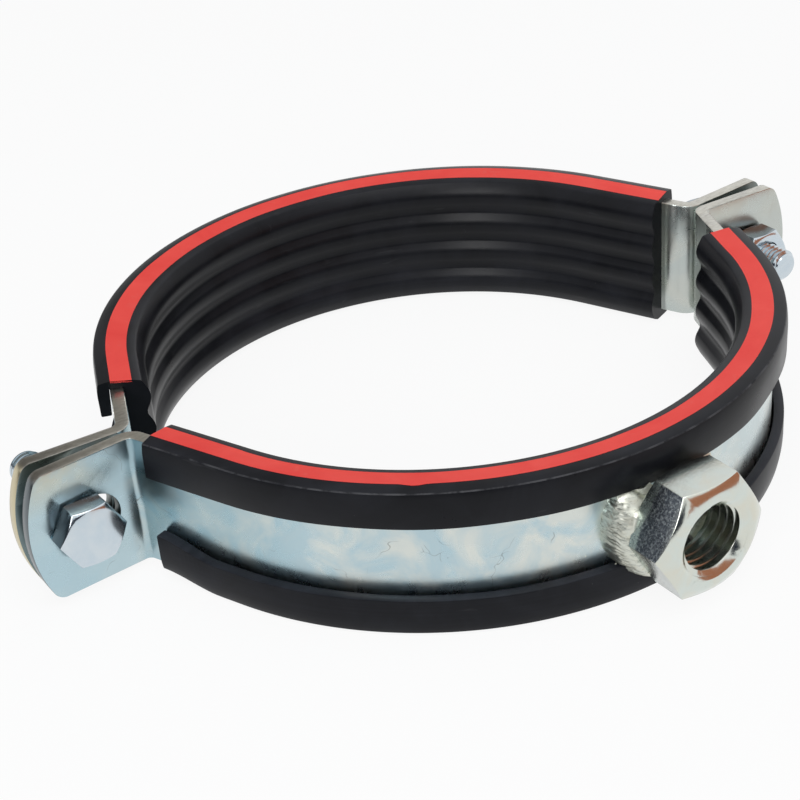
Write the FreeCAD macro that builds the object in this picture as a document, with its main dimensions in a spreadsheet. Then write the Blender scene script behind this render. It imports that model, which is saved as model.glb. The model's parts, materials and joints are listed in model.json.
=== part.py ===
"""Two-piece pipe clamp: steel half bands, rubber channel linings, a welded connection nut and two bolts.

Millimetres. The pipe's axis is +Z and the origin is on it, half way up the band. The ears lie along X, the
connection nut points along -Y. Both halves are the same parts, turned half a turn about the pipe's axis.
"""

import FreeCAD, Part
import math
import os
import re

import Sketcher

SIZES = {
    # lining, measured from the pipe that it grips
    "pipe_radius": 66.5,
    "web_thickness": 5.5,
    "lobe_depth": 1.5,
    "rim_step": 1.0,
    "lobe_land": 2.0,
    "rim_thickness": 2.0,
    "rim_slope": 0.55,
    "window_height": 17.0,
    "lip_root": 2.8,
    "lip_bevel": 0.5,
    "lip_flare": 0.9,
    "shoulder_radius": 1.6,
    "lining_play": 0.05,
    "long_leg": 21.0,
    "short_leg": 11.5,
    # red strand in the lining's upper rim
    "strand_setback": 3.5,
    "strand_width": 4.6,
    "strand_depth": 0.9,
    "strand_taper": 0.4,
    "strand_hollow": 12.0,
    "strand_play": 0.03,
    # strip steel band and its ears
    "band_thickness": 3.0,
    "band_width": 30.0,
    "leg_angle": 22.0,
    "bend_radius": 1.5,
    "ear_tilt": 3.5,
    "ear_length": 24.4,
    "ear_end_radius": 31.0,
    "ear_corner": 1.2,
    "ear_cut_margin": 1.0,
    "closed_gap": 0.6,
    "slot_offset": 1.6,
    "slot_width": 10.8,
    "slot_travel": 3.4,
    # ear bolts and nuts
    "bolt_setback": 12.0,
    "bolt_diameter": 7.9,
    "bolt_length": 30.0,
    "bolt_end_chamfer": 1.0,
    "neck_radius": 0.3,
    "hex_across": 13.0,
    "head_height": 5.3,
    "bearing_rise": 0.3,
    "bearing_diameter": 11.6,
    "crown_share": 0.95,
    "chamfer_margin": 1.0,
    "nut_mouth": 8.7,
    "nut_height": 6.5,
    "thread_play": 0.06,
    "seat_play": 0.05,
    "right_bolt_slack": 8.0,
    # connection nut and its weld
    "rod_nut_across": 24.0,
    "rod_nut_height": 11.0,
    "rod_crown_share": 0.89,
    "rod_thread_major": 16.0,
    "rod_thread_pitch": 2.0,
    "thread_depth_ratio": 1.0825,
    "rod_mouth_ease": 1.0,
    "rod_nut_stand_off": 5.0,
    "weld_reach": 14.6,
    "weld_grip": 12.4,
    "weld_hollow": 7.4,
    "weld_bulge": 9.0,
    "weld_angle": 120.0,
    "weld_overrun": 2.0,
    "weld_play": 0.3,
}

# Lengths that several pieces share, as formulas over the sizes.
BAND_INNER = "(pipe_radius + web_thickness)"
BAND_OUTER = "(pipe_radius + web_thickness + band_thickness)"
BAND_HALF = "(band_width / 2)"
RIM_TOP = "(band_width / 2 + rim_thickness)"
LIP_OUTER = "(pipe_radius + web_thickness + band_thickness + lip_root)"
LIP_EDGE = "(window_height / 2)"
VALLEY = "(pipe_radius + lobe_depth)"
INNER_CORNER = "(band_width / 2 + rim_thickness - rim_step)"
LOBE_PITCH = "((band_width / 2 + rim_thickness - rim_step) / 2)"
STRAND_INNER = "(pipe_radius + strand_setback)"
STRAND_OUTER = "(pipe_radius + strand_setback + strand_width)"
STRAND_SINK = "(band_width / 2 + rim_thickness - rim_slope)"
STRAND_FLOOR = "(band_width / 2 + rim_thickness - strand_depth - rim_slope)"
OUTER_BEND = "(bend_radius + band_thickness)"
BEND_RING = "(pipe_radius + web_thickness + band_thickness + bend_radius)"
BEND_X = "(closed_gap / 2 + bend_radius + band_thickness)"
BEND_RUN = f"(({BEND_RING} * sin(leg_angle) - {BEND_X}) / cos(leg_angle))"
BEND_Y = f"({BEND_RING} * cos(leg_angle) + {BEND_RUN} * sin(leg_angle))"
EAR_REACH = f"({BEND_Y} + ear_length)"
BOLT_PLACE = f"({BEND_Y} + ear_length - bolt_setback)"
SLOT_PLACE = f"({BEND_Y} + ear_length - bolt_setback - slot_offset)"
ROD_THREAD_MINOR = "(rod_thread_major - thread_depth_ratio * rod_thread_pitch)"
ROD_NUT_MOUTH = "(rod_thread_major + rod_mouth_ease)"
ROD_NUT_BACK = "(pipe_radius + web_thickness + band_thickness + rod_nut_stand_off)"

# Each half is drawn with its middle on +X, then turned a quarter about the pipe's axis.
QUARTER_ANGLE = 90
FRONT_ANGLE = -QUARTER_ANGLE
BACK_ANGLE = QUARTER_ANGLE
FULL_ANGLE = 360
SAME_PLACE = 0.01

doc = FreeCAD.newDocument("pipe_clamp")
sheet = doc.addObject("Spreadsheet::Sheet", "Sizes")
for row, (alias, number) in enumerate(SIZES.items(), start=1):
    sheet.set(f"A{row}", alias)
    sheet.set(f"B{row}", str(number))
    sheet.setAlias(f"B{row}", alias)
doc.recompute()


def formula(text):
    """The formula with each size's name pointed at the sheet."""
    def point(match):
        word = match.group()
        return f"Sizes.{word}" if word in SIZES else word

    return re.sub(r"[a-z_]+", point, text)


def value(text):
    return float(sheet.evalExpression(formula(text)))


def bind(thing, prop, text):
    thing.setExpression(prop, formula(text))


def new_body(label):
    body = doc.addObject("PartDesign::Body", label)
    body.Label = label
    return body


def new_sketch(body, name, plane):
    sketch = body.newObject("Sketcher::SketchObject", name)
    support = next(item for item in body.Origin.OriginFeatures if item.Role == plane)
    sketch.AttachmentSupport = [(support, "")]
    sketch.MapMode = "FlatFace"
    return sketch


def dimension(sketch, kind, text, *places):
    """One driving dimension, bound to the sheet."""
    index = sketch.addConstraint(Sketcher.Constraint(kind, *places, value(text)))
    sketch.setExpression(f"Constraints[{index}]", formula(text))


def arc_edge(start, end, radius):
    """Arc of the shorter way round from start to end: a positive radius bulges to the right of the way."""
    chord = end - start
    middle = (start + end) / 2
    left = FreeCAD.Vector(-chord.y, chord.x, 0).normalize()
    rise = math.sqrt(max(radius * radius - chord.Length * chord.Length / 4, 0))
    centre = middle + left * math.copysign(rise, radius)
    begin, finish = (start, end) if radius > 0 else (end, start)
    first = math.atan2(begin.y - centre.y, begin.x - centre.x)
    last = math.atan2(finish.y - centre.y, finish.x - centre.x)
    circle = Part.Circle(centre, FreeCAD.Vector(0, 0, 1), abs(radius))
    return Part.ArcOfCircle(circle, first, last)


def outline(sketch, corners):
    """Closed outline whose corners are dimensioned from the origin.

    A corner is (x, y) or (x, y, radius), where the radius belongs to the arc that leaves the corner.
    """
    points = [FreeCAD.Vector(value(corner[0]), value(corner[1]), 0) for corner in corners]
    ends = []
    for index, corner in enumerate(corners):
        start = points[index]
        end = points[(index + 1) % len(points)]
        if len(corner) == 2:
            edge = sketch.addGeometry(Part.LineSegment(start, end), False)
            ends.append((edge, 1, 2))
            continue
        radius = value(corner[2])
        edge = sketch.addGeometry(arc_edge(start, end, radius), False)
        ends.append((edge, 1, 2) if radius > 0 else (edge, 2, 1))
        dimension(sketch, "Radius", corner[2] if radius > 0 else f"-({corner[2]})", edge)
    for index, corner in enumerate(corners):
        edge, begin, _ = ends[index]
        before, _, finish = ends[index - 1]
        sketch.addConstraint(Sketcher.Constraint("Coincident", before, finish, edge, begin))
        for axis, text in (("DistanceX", corner[0]), ("DistanceY", corner[1])):
            if text == "0":
                own_axis = -2 if axis == "DistanceX" else -1
                sketch.addConstraint(Sketcher.Constraint("PointOnObject", edge, begin, own_axis))
            else:
                dimension(sketch, axis, text, edge, begin)


def feature(body, kind, name, profile):
    item = body.newObject(kind, name)
    item.Profile = profile
    return item


def end_face(solid, direction):
    """Name of the flat face that looks along the direction and lies furthest that way."""
    best = None
    for index, face in enumerate(solid.Faces, start=1):
        if not isinstance(face.Surface, Part.Plane):
            continue
        if not face.normalAt(0, 0).isEqual(direction, SAME_PLACE):
            continue
        reach = face.CenterOfMass.dot(direction)
        if best is None or reach > best[0]:
            best = (reach, f"Face{index}")
    return best[1]


def bent_half(label, section, turn):
    """A section swept round one half: the arc as a revolution, then a straight leg drawn from each end."""
    body = new_body(label)
    profile = new_sketch(body, label + "_section", "XZ_Plane")
    outline(profile, section)
    doc.recompute()
    arc = feature(body, "PartDesign::Revolution", label + "_arc", profile)
    arc.ReferenceAxis = (profile, ["V_Axis"])
    arc.Midplane = True
    bind(arc, "Angle", "180 - 2 * leg_angle")
    doc.recompute()
    lean = math.radians(value("leg_angle"))
    for side, length in ((-1, "long_leg"), (1, "short_leg")):
        way = FreeCAD.Vector(-math.cos(lean), side * math.sin(lean), 0)
        base = body.Tip
        leg = feature(body, "PartDesign::Pad", f"{label}_{length}", (base, [end_face(base.Shape, way)]))
        bind(leg, "Length", length)
        doc.recompute()
    body.Placement = FreeCAD.Placement(FreeCAD.Vector(), FreeCAD.Rotation(FreeCAD.Vector(0, 0, 1), turn))
    return body


def lobe_flank():
    """Radius of the arc from a lobe's land down to the valley, tangent to the land."""
    run = f"({LOBE_PITCH} - lobe_land) / 2"
    return f"((({run})^2 + lobe_depth^2) / (2 * lobe_depth))"


def lobes():
    """Corners of the gripping face from the lower rim to the upper one, four lobes with flat lands."""
    corners = []
    for step in (-1.5, -0.5, 0.5, 1.5):
        crest = f"{step} * {LOBE_PITCH}"
        corners.append((VALLEY, f"{crest} - {LOBE_PITCH} / 2", f"-{lobe_flank()}"))
        corners.append(("pipe_radius", f"{crest} - lobe_land / 2"))
        corners.append(("pipe_radius", f"{crest} + lobe_land / 2", f"-{lobe_flank()}"))
    corners.append((VALLEY, INNER_CORNER))
    return corners


def lip(sign):
    """Corners of one outer lip, from the shoulder round its free edge to the channel's inner corner."""
    tip_inner = f"{BAND_OUTER} + lining_play + lip_flare"
    tip_outer = f"{LIP_OUTER} - lip_bevel"
    walk = [
        (LIP_OUTER, f"{sign} * ({RIM_TOP} - shoulder_radius)"),
        (LIP_OUTER, f"{sign} * ({LIP_EDGE} + lip_bevel)"),
        (tip_outer, f"{sign} * {LIP_EDGE}"),
        (tip_inner, f"{sign} * {LIP_EDGE}"),
        (f"{BAND_OUTER} + lining_play", f"{sign} * ({BAND_HALF} + lining_play)"),
        (f"{BAND_INNER} - lining_play", f"{sign} * ({BAND_HALF} + lining_play)"),
    ]
    return walk


def lining_section():
    """Closed section of the rubber channel in the plane of radius and height, walked from the lower rim."""
    shoulder_start = f"{LIP_OUTER} - shoulder_radius"
    upper_rim = [
        (STRAND_INNER, STRAND_SINK),
        (f"{STRAND_INNER} + strand_taper", STRAND_FLOOR),
        (f"{STRAND_OUTER} - strand_taper", STRAND_FLOOR),
        (STRAND_OUTER, RIM_TOP),
        (shoulder_start, RIM_TOP, "-shoulder_radius"),
    ]
    upper_lip = lip(1)
    lower_lip = list(reversed(lip(-1)))
    lower_lip[-1] = lower_lip[-1] + ("-shoulder_radius",)
    lower_rim = [
        (shoulder_start, f"-{RIM_TOP}"),
        (f"{STRAND_INNER} + strand_taper", f"-{RIM_TOP}"),
    ]
    return lobes() + upper_rim + upper_lip + lower_lip + lower_rim


def strand_section():
    """Closed section of the red strand: it fills its groove and has a slightly hollow top."""
    return [
        (f"{STRAND_INNER} + strand_taper + strand_play", f"{STRAND_FLOOR} + strand_play"),
        (f"{STRAND_OUTER} - strand_taper - strand_play", f"{STRAND_FLOOR} + strand_play"),
        (f"{STRAND_OUTER} - strand_play", RIM_TOP, "-strand_hollow"),
        (f"{STRAND_INNER} + strand_play", STRAND_SINK),
    ]


def band_chain(ring, bend, side):
    """Corners along one face of the strip: leg start, leg end, ear start and ear end."""
    ear_x = f"({BEND_X} - {bend} * cos(ear_tilt))"
    ear_y = f"({BEND_Y} + {bend} * sin(ear_tilt))"
    return [
        (f"{ring} * sin(leg_angle)", f"{side} * {ring} * cos(leg_angle)"),
        (f"{BEND_X} - {bend} * sin(leg_angle)", f"{side} * ({BEND_Y} - {bend} * cos(leg_angle))"),
        (ear_x, f"{side} * {ear_y}"),
        (f"{ear_x} + ({EAR_REACH} - {ear_y}) * tan(ear_tilt)", f"{side} * {EAR_REACH}"),
    ]


def band_outline():
    """Edge-on outline of one half band, walked along its inner face and back along its outer face."""
    low_inner = band_chain(BAND_INNER, OUTER_BEND, -1)
    high_inner = band_chain(BAND_INNER, OUTER_BEND, 1)
    low_outer = band_chain(BAND_OUTER, "bend_radius", -1)
    high_outer = band_chain(BAND_OUTER, "bend_radius", 1)
    inner_bend = f"-{OUTER_BEND}"
    return [
        low_inner[3],
        low_inner[2] + (inner_bend,),
        low_inner[1],
        low_inner[0] + (BAND_INNER,),
        high_inner[0],
        high_inner[1] + (inner_bend,),
        high_inner[2],
        high_inner[3],
        high_outer[3],
        high_outer[2] + ("bend_radius",),
        high_outer[1],
        high_outer[0] + (f"-{BAND_OUTER}",),
        low_outer[0],
        low_outer[1] + ("bend_radius",),
        low_outer[2],
        low_outer[3],
    ]


def through_both(pocket):
    pocket.Type = "ThroughAll"
    pocket.Midplane = True


def ear_corners(strip):
    """Names of the four edges where an ear's curved end meets the long edges of the strip."""
    corner_y = value(f"{EAR_REACH} - ear_end_radius + sqrt(ear_end_radius^2 - (band_width / 2)^2)")
    corner_z = value(BAND_HALF)
    names = []
    for index, edge in enumerate(strip.Edges, start=1):
        middle = edge.CenterOfMass
        off_y = abs(abs(middle.y) - corner_y)
        off_z = abs(abs(middle.z) - corner_z)
        if max(off_y, off_z) < SAME_PLACE:
            names.append(f"Edge{index}")
    return names


def half_band(label, turn):
    """Strip bent edge-on, then its ears get their curved ends, slots and eased corners."""
    body = new_body(label)
    profile = new_sketch(body, label + "_profile", "XY_Plane")
    outline(profile, band_outline())
    doc.recompute()
    strip = feature(body, "PartDesign::Pad", label + "_strip", profile)
    strip.Midplane = True
    bind(strip, "Length", "band_width")
    doc.recompute()
    plan = new_sketch(body, label + "_ear_plan", "YZ_Plane")
    tall = "(band_width / 2 + ear_cut_margin)"
    start = f"({EAR_REACH} - ear_end_radius + sqrt(ear_end_radius^2 - {tall}^2))"
    for side in (1, -1):
        beyond = f"{side} * ({EAR_REACH} + ear_cut_margin)"
        outline(plan, [
            (f"{side} * {start}", f"-{tall}", f"{side} * ear_end_radius"),
            (f"{side} * {start}", tall),
            (beyond, tall),
            (beyond, f"-{tall}"),
        ])
        near = f"({side} * {SLOT_PLACE} - slot_travel / 2)"
        far = f"({side} * {SLOT_PLACE} + slot_travel / 2)"
        outline(plan, [
            (near, "-slot_width / 2"),
            (far, "-slot_width / 2", "slot_width / 2"),
            (f"{far} + slot_width / 2", "0", "slot_width / 2"),
            (far, "slot_width / 2"),
            (near, "slot_width / 2", "slot_width / 2"),
            (f"{near} - slot_width / 2", "0", "slot_width / 2"),
        ])
    doc.recompute()
    ears = feature(body, "PartDesign::Pocket", label + "_ears", plan)
    through_both(ears)
    doc.recompute()
    eased = body.newObject("PartDesign::Fillet", label + "_corners")
    eased.Base = (ears, ear_corners(ears.Shape))
    bind(eased, "Radius", "ear_corner")
    doc.recompute()
    body.Placement = FreeCAD.Placement(FreeCAD.Vector(), FreeCAD.Rotation(FreeCAD.Vector(0, 0, 1), turn))
    return body


def hex_prism(body, across, height, crown_share, faces):
    """Hexagon standing on z = 0, a corner on X, chamfered at 30 degrees on the named faces."""
    prism = body.newObject("PartDesign::AdditivePrism", body.Label + "_hex")
    prism.Polygon = 6
    bind(prism, "Circumradius", f"{across} / 2 / cos(30)")
    bind(prism, "Height", height)
    doc.recompute()
    crown = f"({across} * {crown_share} / 2)"
    clear = f"({across} / 2 / cos(30) + chamfer_margin)"
    drop = f"(({clear} - {crown}) * tan(30))"
    sketch = new_sketch(body, body.Label + "_chamfers", "XZ_Plane")
    if "top" in faces:
        outline(sketch, [(crown, height), (clear, f"{height} - {drop}"), (clear, height)])
    if "bottom" in faces:
        outline(sketch, [(crown, "0"), (clear, "0"), (clear, drop)])
    doc.recompute()
    groove = feature(body, "PartDesign::Groove", body.Label + "_chamfer", sketch)
    groove.ReferenceAxis = (sketch, ["V_Axis"])
    groove.Angle = FULL_ANGLE
    doc.recompute()
    return groove


def turned(body, kind, name, section):
    """A section turned a full turn about the body's own Z axis, added or cut."""
    sketch = new_sketch(body, f"{body.Label}_{name}_section", "XZ_Plane")
    outline(sketch, section)
    doc.recompute()
    item = feature(body, kind, f"{body.Label}_{name}", sketch)
    item.ReferenceAxis = (sketch, ["V_Axis"])
    item.Angle = FULL_ANGLE
    doc.recompute()
    return item


def stand(body, place, seat, towards):
    """The body's own Z axis laid along +Y or -Y, its origin at the named place."""
    body.Placement = FreeCAD.Placement(
        FreeCAD.Vector(), FreeCAD.Rotation(FreeCAD.Vector(1, 0, 0), -QUARTER_ANGLE * towards))
    bind(body, "Placement.Base.x", place)
    bind(body, "Placement.Base.y", seat)


def ear_seat(radius):
    """How far from the parting plane a flat face of that radius round the bolt meets the tilted ear."""
    ear_y = f"({BEND_Y} + bend_radius * sin(ear_tilt))"
    ear_x = f"({BEND_X} - bend_radius * cos(ear_tilt))"
    return f"({ear_x} + ({BOLT_PLACE} + {radius} - {ear_y}) * tan(ear_tilt) + seat_play)"


HEAD_TOP = f"({ear_seat('bearing_diameter / 2')} + head_height)"
NUT_SEAT = ear_seat("hex_across * crown_share / 2")


def ear_bolt(label, place, seat, towards):
    """Hex head screw standing on its head: hexagon, raised bearing face, shank with a chamfered end."""
    body = new_body(label)
    hex_prism(body, "hex_across", "head_height - bearing_rise", "crown_share", ("bottom",))
    shank = "bolt_diameter / 2"
    base = "head_height - bearing_rise"
    tip = "(head_height + bolt_length)"
    turned(body, "PartDesign::Revolution", "shank", [
        ("0", base),
        ("bearing_diameter / 2", base),
        ("bearing_diameter / 2", "head_height"),
        (f"{shank} + neck_radius", "head_height", "-neck_radius"),
        (shank, "head_height + neck_radius"),
        (shank, f"{tip} - bolt_end_chamfer"),
        (f"{shank} - bolt_end_chamfer", tip),
        ("0", tip),
    ])
    stand(body, place, seat, towards)
    return body


def ear_nut(label, place, seat, towards):
    body = new_body(label)
    hex_prism(body, "hex_across", "nut_height", "crown_share", ("top", "bottom"))
    bore = "(bolt_diameter / 2 + thread_play)"
    turned(body, "PartDesign::Groove", "bore", countersunk_bore(bore, "nut_mouth / 2", "nut_height"))
    stand(body, place, seat, towards)
    return body


def countersunk_bore(bore, mouth, height):
    """Section of a through hole with a 45 degree mouth at each end."""
    sink = f"({mouth} - {bore})"
    return [
        ("0", "0"),
        (mouth, "0"),
        (bore, sink),
        (bore, f"{height} - {sink}"),
        (mouth, height),
        ("0", height),
    ]


def rod_nut(label):
    """Connection nut, its corners towards the ears, its hole at the thread's minor diameter."""
    body = new_body(label)
    hex_prism(body, "rod_nut_across", "rod_nut_height", "rod_crown_share", ("top", "bottom"))
    section = countersunk_bore(f"{ROD_THREAD_MINOR} / 2", f"{ROD_NUT_MOUTH} / 2", "rod_nut_height")
    turned(body, "PartDesign::Groove", "bore", section)
    stand(body, "0", f"-{ROD_NUT_BACK}", -1)
    return body


def weld(label, side):
    """Bulging bead on one side of the nut, cut to the band's curve and kept between the two lips."""
    body = new_body(label)
    toe = f"sqrt({BAND_OUTER}^2 - weld_reach^2)"
    buried = f"({toe} - weld_overrun)"
    bead = turned(body, "PartDesign::Revolution", "bead", [
        ("weld_hollow", buried),
        ("weld_reach", buried),
        ("weld_reach", toe, "weld_bulge"),
        ("weld_grip", ROD_NUT_BACK),
        ("weld_hollow", ROD_NUT_BACK),
    ])
    bead.Midplane = True
    bind(bead, "Angle", "weld_angle")
    doc.recompute()
    curve = new_sketch(body, label + "_band_curve", "XZ_Plane")
    circle = Part.Circle(FreeCAD.Vector(), FreeCAD.Vector(0, 0, 1), value(BAND_OUTER))
    ring = curve.addGeometry(circle, False)
    curve.addConstraint(Sketcher.Constraint("Coincident", ring, 3, -1, 1))
    dimension(curve, "Radius", BAND_OUTER, ring)
    doc.recompute()
    through_both(feature(body, "PartDesign::Pocket", label + "_seat", curve))
    doc.recompute()
    trim = new_sketch(body, label + "_trim", "YZ_Plane")
    room = f"({LIP_EDGE} - weld_play)"
    far = "(weld_reach + weld_overrun)"
    for edge in (1, -1):
        outline(trim, [
            (f"{edge} * {room}", "0"),
            (f"{edge} * {room}", f"{ROD_NUT_BACK} + weld_overrun"),
            (f"{edge} * {far}", f"{ROD_NUT_BACK} + weld_overrun"),
            (f"{edge} * {far}", "0"),
        ])
    doc.recompute()
    through_both(feature(body, "PartDesign::Pocket", label + "_sides", trim))
    doc.recompute()
    stand(body, "0", "0", -1)
    if side < 0:
        flip = FreeCAD.Rotation(FreeCAD.Vector(0, 1, 0), 2 * QUARTER_ANGLE)
        body.Placement = FreeCAD.Placement(FreeCAD.Vector(), flip * body.Placement.Rotation)
    return body


pieces = [
    half_band("front_band", FRONT_ANGLE),
    half_band("back_band", BACK_ANGLE),
    bent_half("front_lining", lining_section(), FRONT_ANGLE),
    bent_half("back_lining", lining_section(), BACK_ANGLE),
    bent_half("front_stripe", strand_section(), FRONT_ANGLE),
    bent_half("back_stripe", strand_section(), BACK_ANGLE),
    rod_nut("connection_nut"),
    weld("left_weld", -1),
    weld("right_weld", 1),
    ear_bolt("left_bolt", f"-{BOLT_PLACE}", f"-{HEAD_TOP}", 1),
    ear_bolt("right_bolt", BOLT_PLACE, f"{HEAD_TOP} + right_bolt_slack", -1),
    ear_nut("left_nut", f"-{BOLT_PLACE}", NUT_SEAT, 1),
    ear_nut("right_nut", BOLT_PLACE, f"-{NUT_SEAT}", -1),
]
doc.recompute()

for item in doc.Objects:
    if "Invalid" in item.State or "Error" in item.State:
        raise RuntimeError(f"{item.Label} did not build: {item.State}")
os.makedirs("parts", exist_ok=True)
for piece in pieces:
    if piece.Shape.isNull() or not piece.Shape.isValid():
        raise RuntimeError(f"{piece.Label} has no valid shape")
    solids = len(piece.Shape.Solids)
    if solids != 1:
        raise RuntimeError(f"{piece.Label} has {solids} solids")
    piece.Shape.exportStep(f"parts/{piece.Label}.step")
    print(piece.Label, round(piece.Shape.Volume), "mm3")
print("bolts at X", round(value(BOLT_PLACE), 3), "ears to X", round(value(EAR_REACH), 3))
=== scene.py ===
"""Looks of the rubber lined pipe clamp: zinc plated strip, extruded rubber, red strand, threads, welds and light."""

import json
import math

import bmesh
import bpy
from mathutils import Matrix, Vector, noise


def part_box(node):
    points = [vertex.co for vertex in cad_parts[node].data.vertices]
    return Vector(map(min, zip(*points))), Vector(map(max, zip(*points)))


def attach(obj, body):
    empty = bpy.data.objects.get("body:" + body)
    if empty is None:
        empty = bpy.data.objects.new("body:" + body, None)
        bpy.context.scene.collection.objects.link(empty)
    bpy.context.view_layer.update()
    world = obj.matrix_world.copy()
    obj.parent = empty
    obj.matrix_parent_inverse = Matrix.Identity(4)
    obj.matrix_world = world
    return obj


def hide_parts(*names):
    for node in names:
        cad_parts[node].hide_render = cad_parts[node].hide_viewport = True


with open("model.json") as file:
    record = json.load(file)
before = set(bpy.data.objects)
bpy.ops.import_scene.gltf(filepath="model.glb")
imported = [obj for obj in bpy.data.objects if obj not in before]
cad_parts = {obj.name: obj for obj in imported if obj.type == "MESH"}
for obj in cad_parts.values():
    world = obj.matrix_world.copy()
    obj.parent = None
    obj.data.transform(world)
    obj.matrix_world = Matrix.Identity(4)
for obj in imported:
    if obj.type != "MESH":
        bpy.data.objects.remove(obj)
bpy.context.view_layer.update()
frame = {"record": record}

MM = 0.001

# Sizes read from the model, in metres.
LINING_LOW, LINING_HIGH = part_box("front_lining")
BAND_LOW, BAND_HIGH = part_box("front_band")
NUT_LOW, NUT_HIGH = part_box("connection_nut")
LIP_OUTER = -LINING_LOW.y
RIM_TOP = LINING_HIGH.z
BAND_OUTER = -BAND_LOW.y
BAND_HALF = BAND_HIGH.z
EAR_REACH = BAND_HIGH.x
NUT_BACK = -NUT_HIGH.y
NUT_FRONT = -NUT_LOW.y
NUT_ACROSS = NUT_HIGH.z - NUT_LOW.z
NUT_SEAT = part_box("left_nut")[0].y

# The strip and its bends.
BAND_THICKNESS = 3.0 * MM
BAND_INNER = BAND_OUTER - BAND_THICKNESS
LEG_LEAN = math.radians(22.0)
EAR_TILT = math.radians(3.5)
BEND_RADIUS = 1.5 * MM
HALF_GAP = 0.3 * MM
BEND_X = HALF_GAP + BEND_RADIUS + BAND_THICKNESS
BEND_RING = BAND_OUTER + BEND_RADIUS
LEG_RUN = (BEND_RING * math.sin(LEG_LEAN) - BEND_X) / math.cos(LEG_LEAN)
BEND_Y = BEND_RING * math.cos(LEG_LEAN) + LEG_RUN * math.sin(LEG_LEAN)
EAR_END_RADIUS = 31.0 * MM
BOLT_PLACE = EAR_REACH - 12.0 * MM
SLOT_PLACE = BOLT_PLACE - 1.6 * MM
SLOT_WIDTH = 10.8 * MM
SLOT_TRAVEL = 3.4 * MM
EDGE_ROUND = 0.22 * MM

# The rubber channel.
PIPE_RADIUS = 66.5 * MM
LOBE_DEPTH = 1.5 * MM
LOBE_PITCH = 8.0 * MM
RIM_CORNER_Z = 16.0 * MM
RIM_SLOPE = 0.55 * MM
LIP_EDGE_Z = 8.5 * MM
LIP_GAP = 0.5 * MM
LIP_BEVEL = 0.5 * MM
SHOULDER = 2.6 * MM
LONG_LEG = 21.0 * MM
SHORT_LEG = 11.5 * MM
STRAND_INNER = 70.0 * MM
STRAND_OUTER = 74.6 * MM
STRAND_DEPTH = 0.9 * MM

# Bolts and nuts.
HEX_ACROSS = 13.0 * MM
CROWN_SHARE = 0.95
ROD_CROWN_SHARE = 0.865
ROD_FOOT_SHARE = 0.97
HEAD_HEIGHT = 5.0 * MM
BOLT_RADIUS = 3.98 * MM
BOLT_PITCH = 1.25 * MM
ROD_PITCH = 2.0 * MM
ROD_MAJOR = 8.1 * MM
ROD_MINOR = 6.92 * MM
ROD_MOUTH = 8.8 * MM

QUARTER = math.pi / 2
FRONT_TURN = Matrix.Rotation(-QUARTER, 4, "Z")
BACK_TURN = Matrix.Rotation(QUARTER, 4, "Z")


# Mesh helpers


def new_object(name, bm):
    mesh = bpy.data.meshes.new(name)
    bm.to_mesh(mesh)
    bm.free()
    piece = bpy.data.objects.new(name, mesh)
    bpy.context.scene.collection.objects.link(piece)
    return piece


def applied(piece):
    """The piece with its modifiers made part of its mesh."""
    graph = bpy.context.evaluated_depsgraph_get()
    graph.update()
    made = bpy.data.meshes.new_from_object(piece.evaluated_get(graph))
    piece.modifiers.clear()
    piece.data = made
    return piece


def boolean(piece, tool, operation):
    """Cut, join or intersect a piece with a tool, which is then thrown away."""
    step = piece.modifiers.new(operation.lower(), "BOOLEAN")
    step.operation = operation
    step.solver = "EXACT"
    step.object = tool
    applied(piece)
    bpy.data.objects.remove(tool)
    return piece


def rounded(piece, width, segments=2, angle=math.radians(32)):
    step = piece.modifiers.new("edges", "BEVEL")
    step.width = width
    step.segments = segments
    step.limit_method = "ANGLE"
    step.angle_limit = angle
    step.harden_normals = False
    return applied(piece)


def smoothed(piece, angle=math.radians(35)):
    piece.data.shade_smooth()
    piece.data.set_sharp_from_angle(angle=angle)
    return piece


def placed(piece, matrix):
    piece.data.transform(matrix)
    return piece


def faces_of(result):
    return [item for item in result["geom"] if isinstance(item, bmesh.types.BMFace)]


def section_face(bm, corners, place):
    """A flat face from (across, up) corners, put in place by the matrix."""
    verts = [bm.verts.new(place @ Vector((across, 0, up))) for across, up in corners]
    return bm.faces.new(verts)


def rounded_section(bm, corners, roundings, place):
    """A section face whose named corners are rounded, each group with its own radius."""
    face = section_face(bm, corners, place)
    verts = list(face.verts)
    for indices, radius, segments in roundings:
        bmesh.ops.bevel(
            bm, geom=[verts[index] for index in indices], offset=radius, segments=segments, profile=0.5,
            affect="VERTICES", material=-1,
        )
    bm.faces.ensure_lookup_table()
    return bm.faces[0]


def pushed(bm, face, move, steps=1):
    """Draw a face along a straight line in equal steps and give the new end face."""
    for _ in range(steps):
        made = faces_of(bmesh.ops.extrude_face_region(bm, geom=[face]))
        face = made[0]
        bmesh.ops.translate(bm, verts=face.verts, vec=move / steps)
    return face


def swung(bm, face, centre, angle, steps):
    """Draw a face round a vertical axis and give the new end face."""
    result = bmesh.ops.spin(
        bm, geom=[face, *face.edges, *face.verts], cent=centre, axis=(0, 0, 1),
        angle=angle, steps=steps, use_duplicate=False,
    )
    return [item for item in result["geom_last"] if isinstance(item, bmesh.types.BMFace)][0]


def tidied(bm):
    bmesh.ops.remove_doubles(bm, verts=bm.verts, dist=1e-7)
    bmesh.ops.recalc_face_normals(bm, faces=bm.faces)


def turned_solid(name, profile, segments=96):
    """A profile of (radius, height) corners turned about the Z axis into a closed solid."""
    bm = bmesh.new()
    verts = [bm.verts.new((radius, 0, height)) for radius, height in profile]
    edges = [bm.edges.new(pair) for pair in zip(verts, verts[1:])]
    bmesh.ops.spin(
        bm, geom=[*verts, *edges], cent=(0, 0, 0), axis=(0, 0, 1),
        angle=2 * math.pi, steps=segments, use_merge=True, use_duplicate=False,
    )
    tidied(bm)
    return new_object(name, bm)


# The two halves: bands, linings and strands


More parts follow.
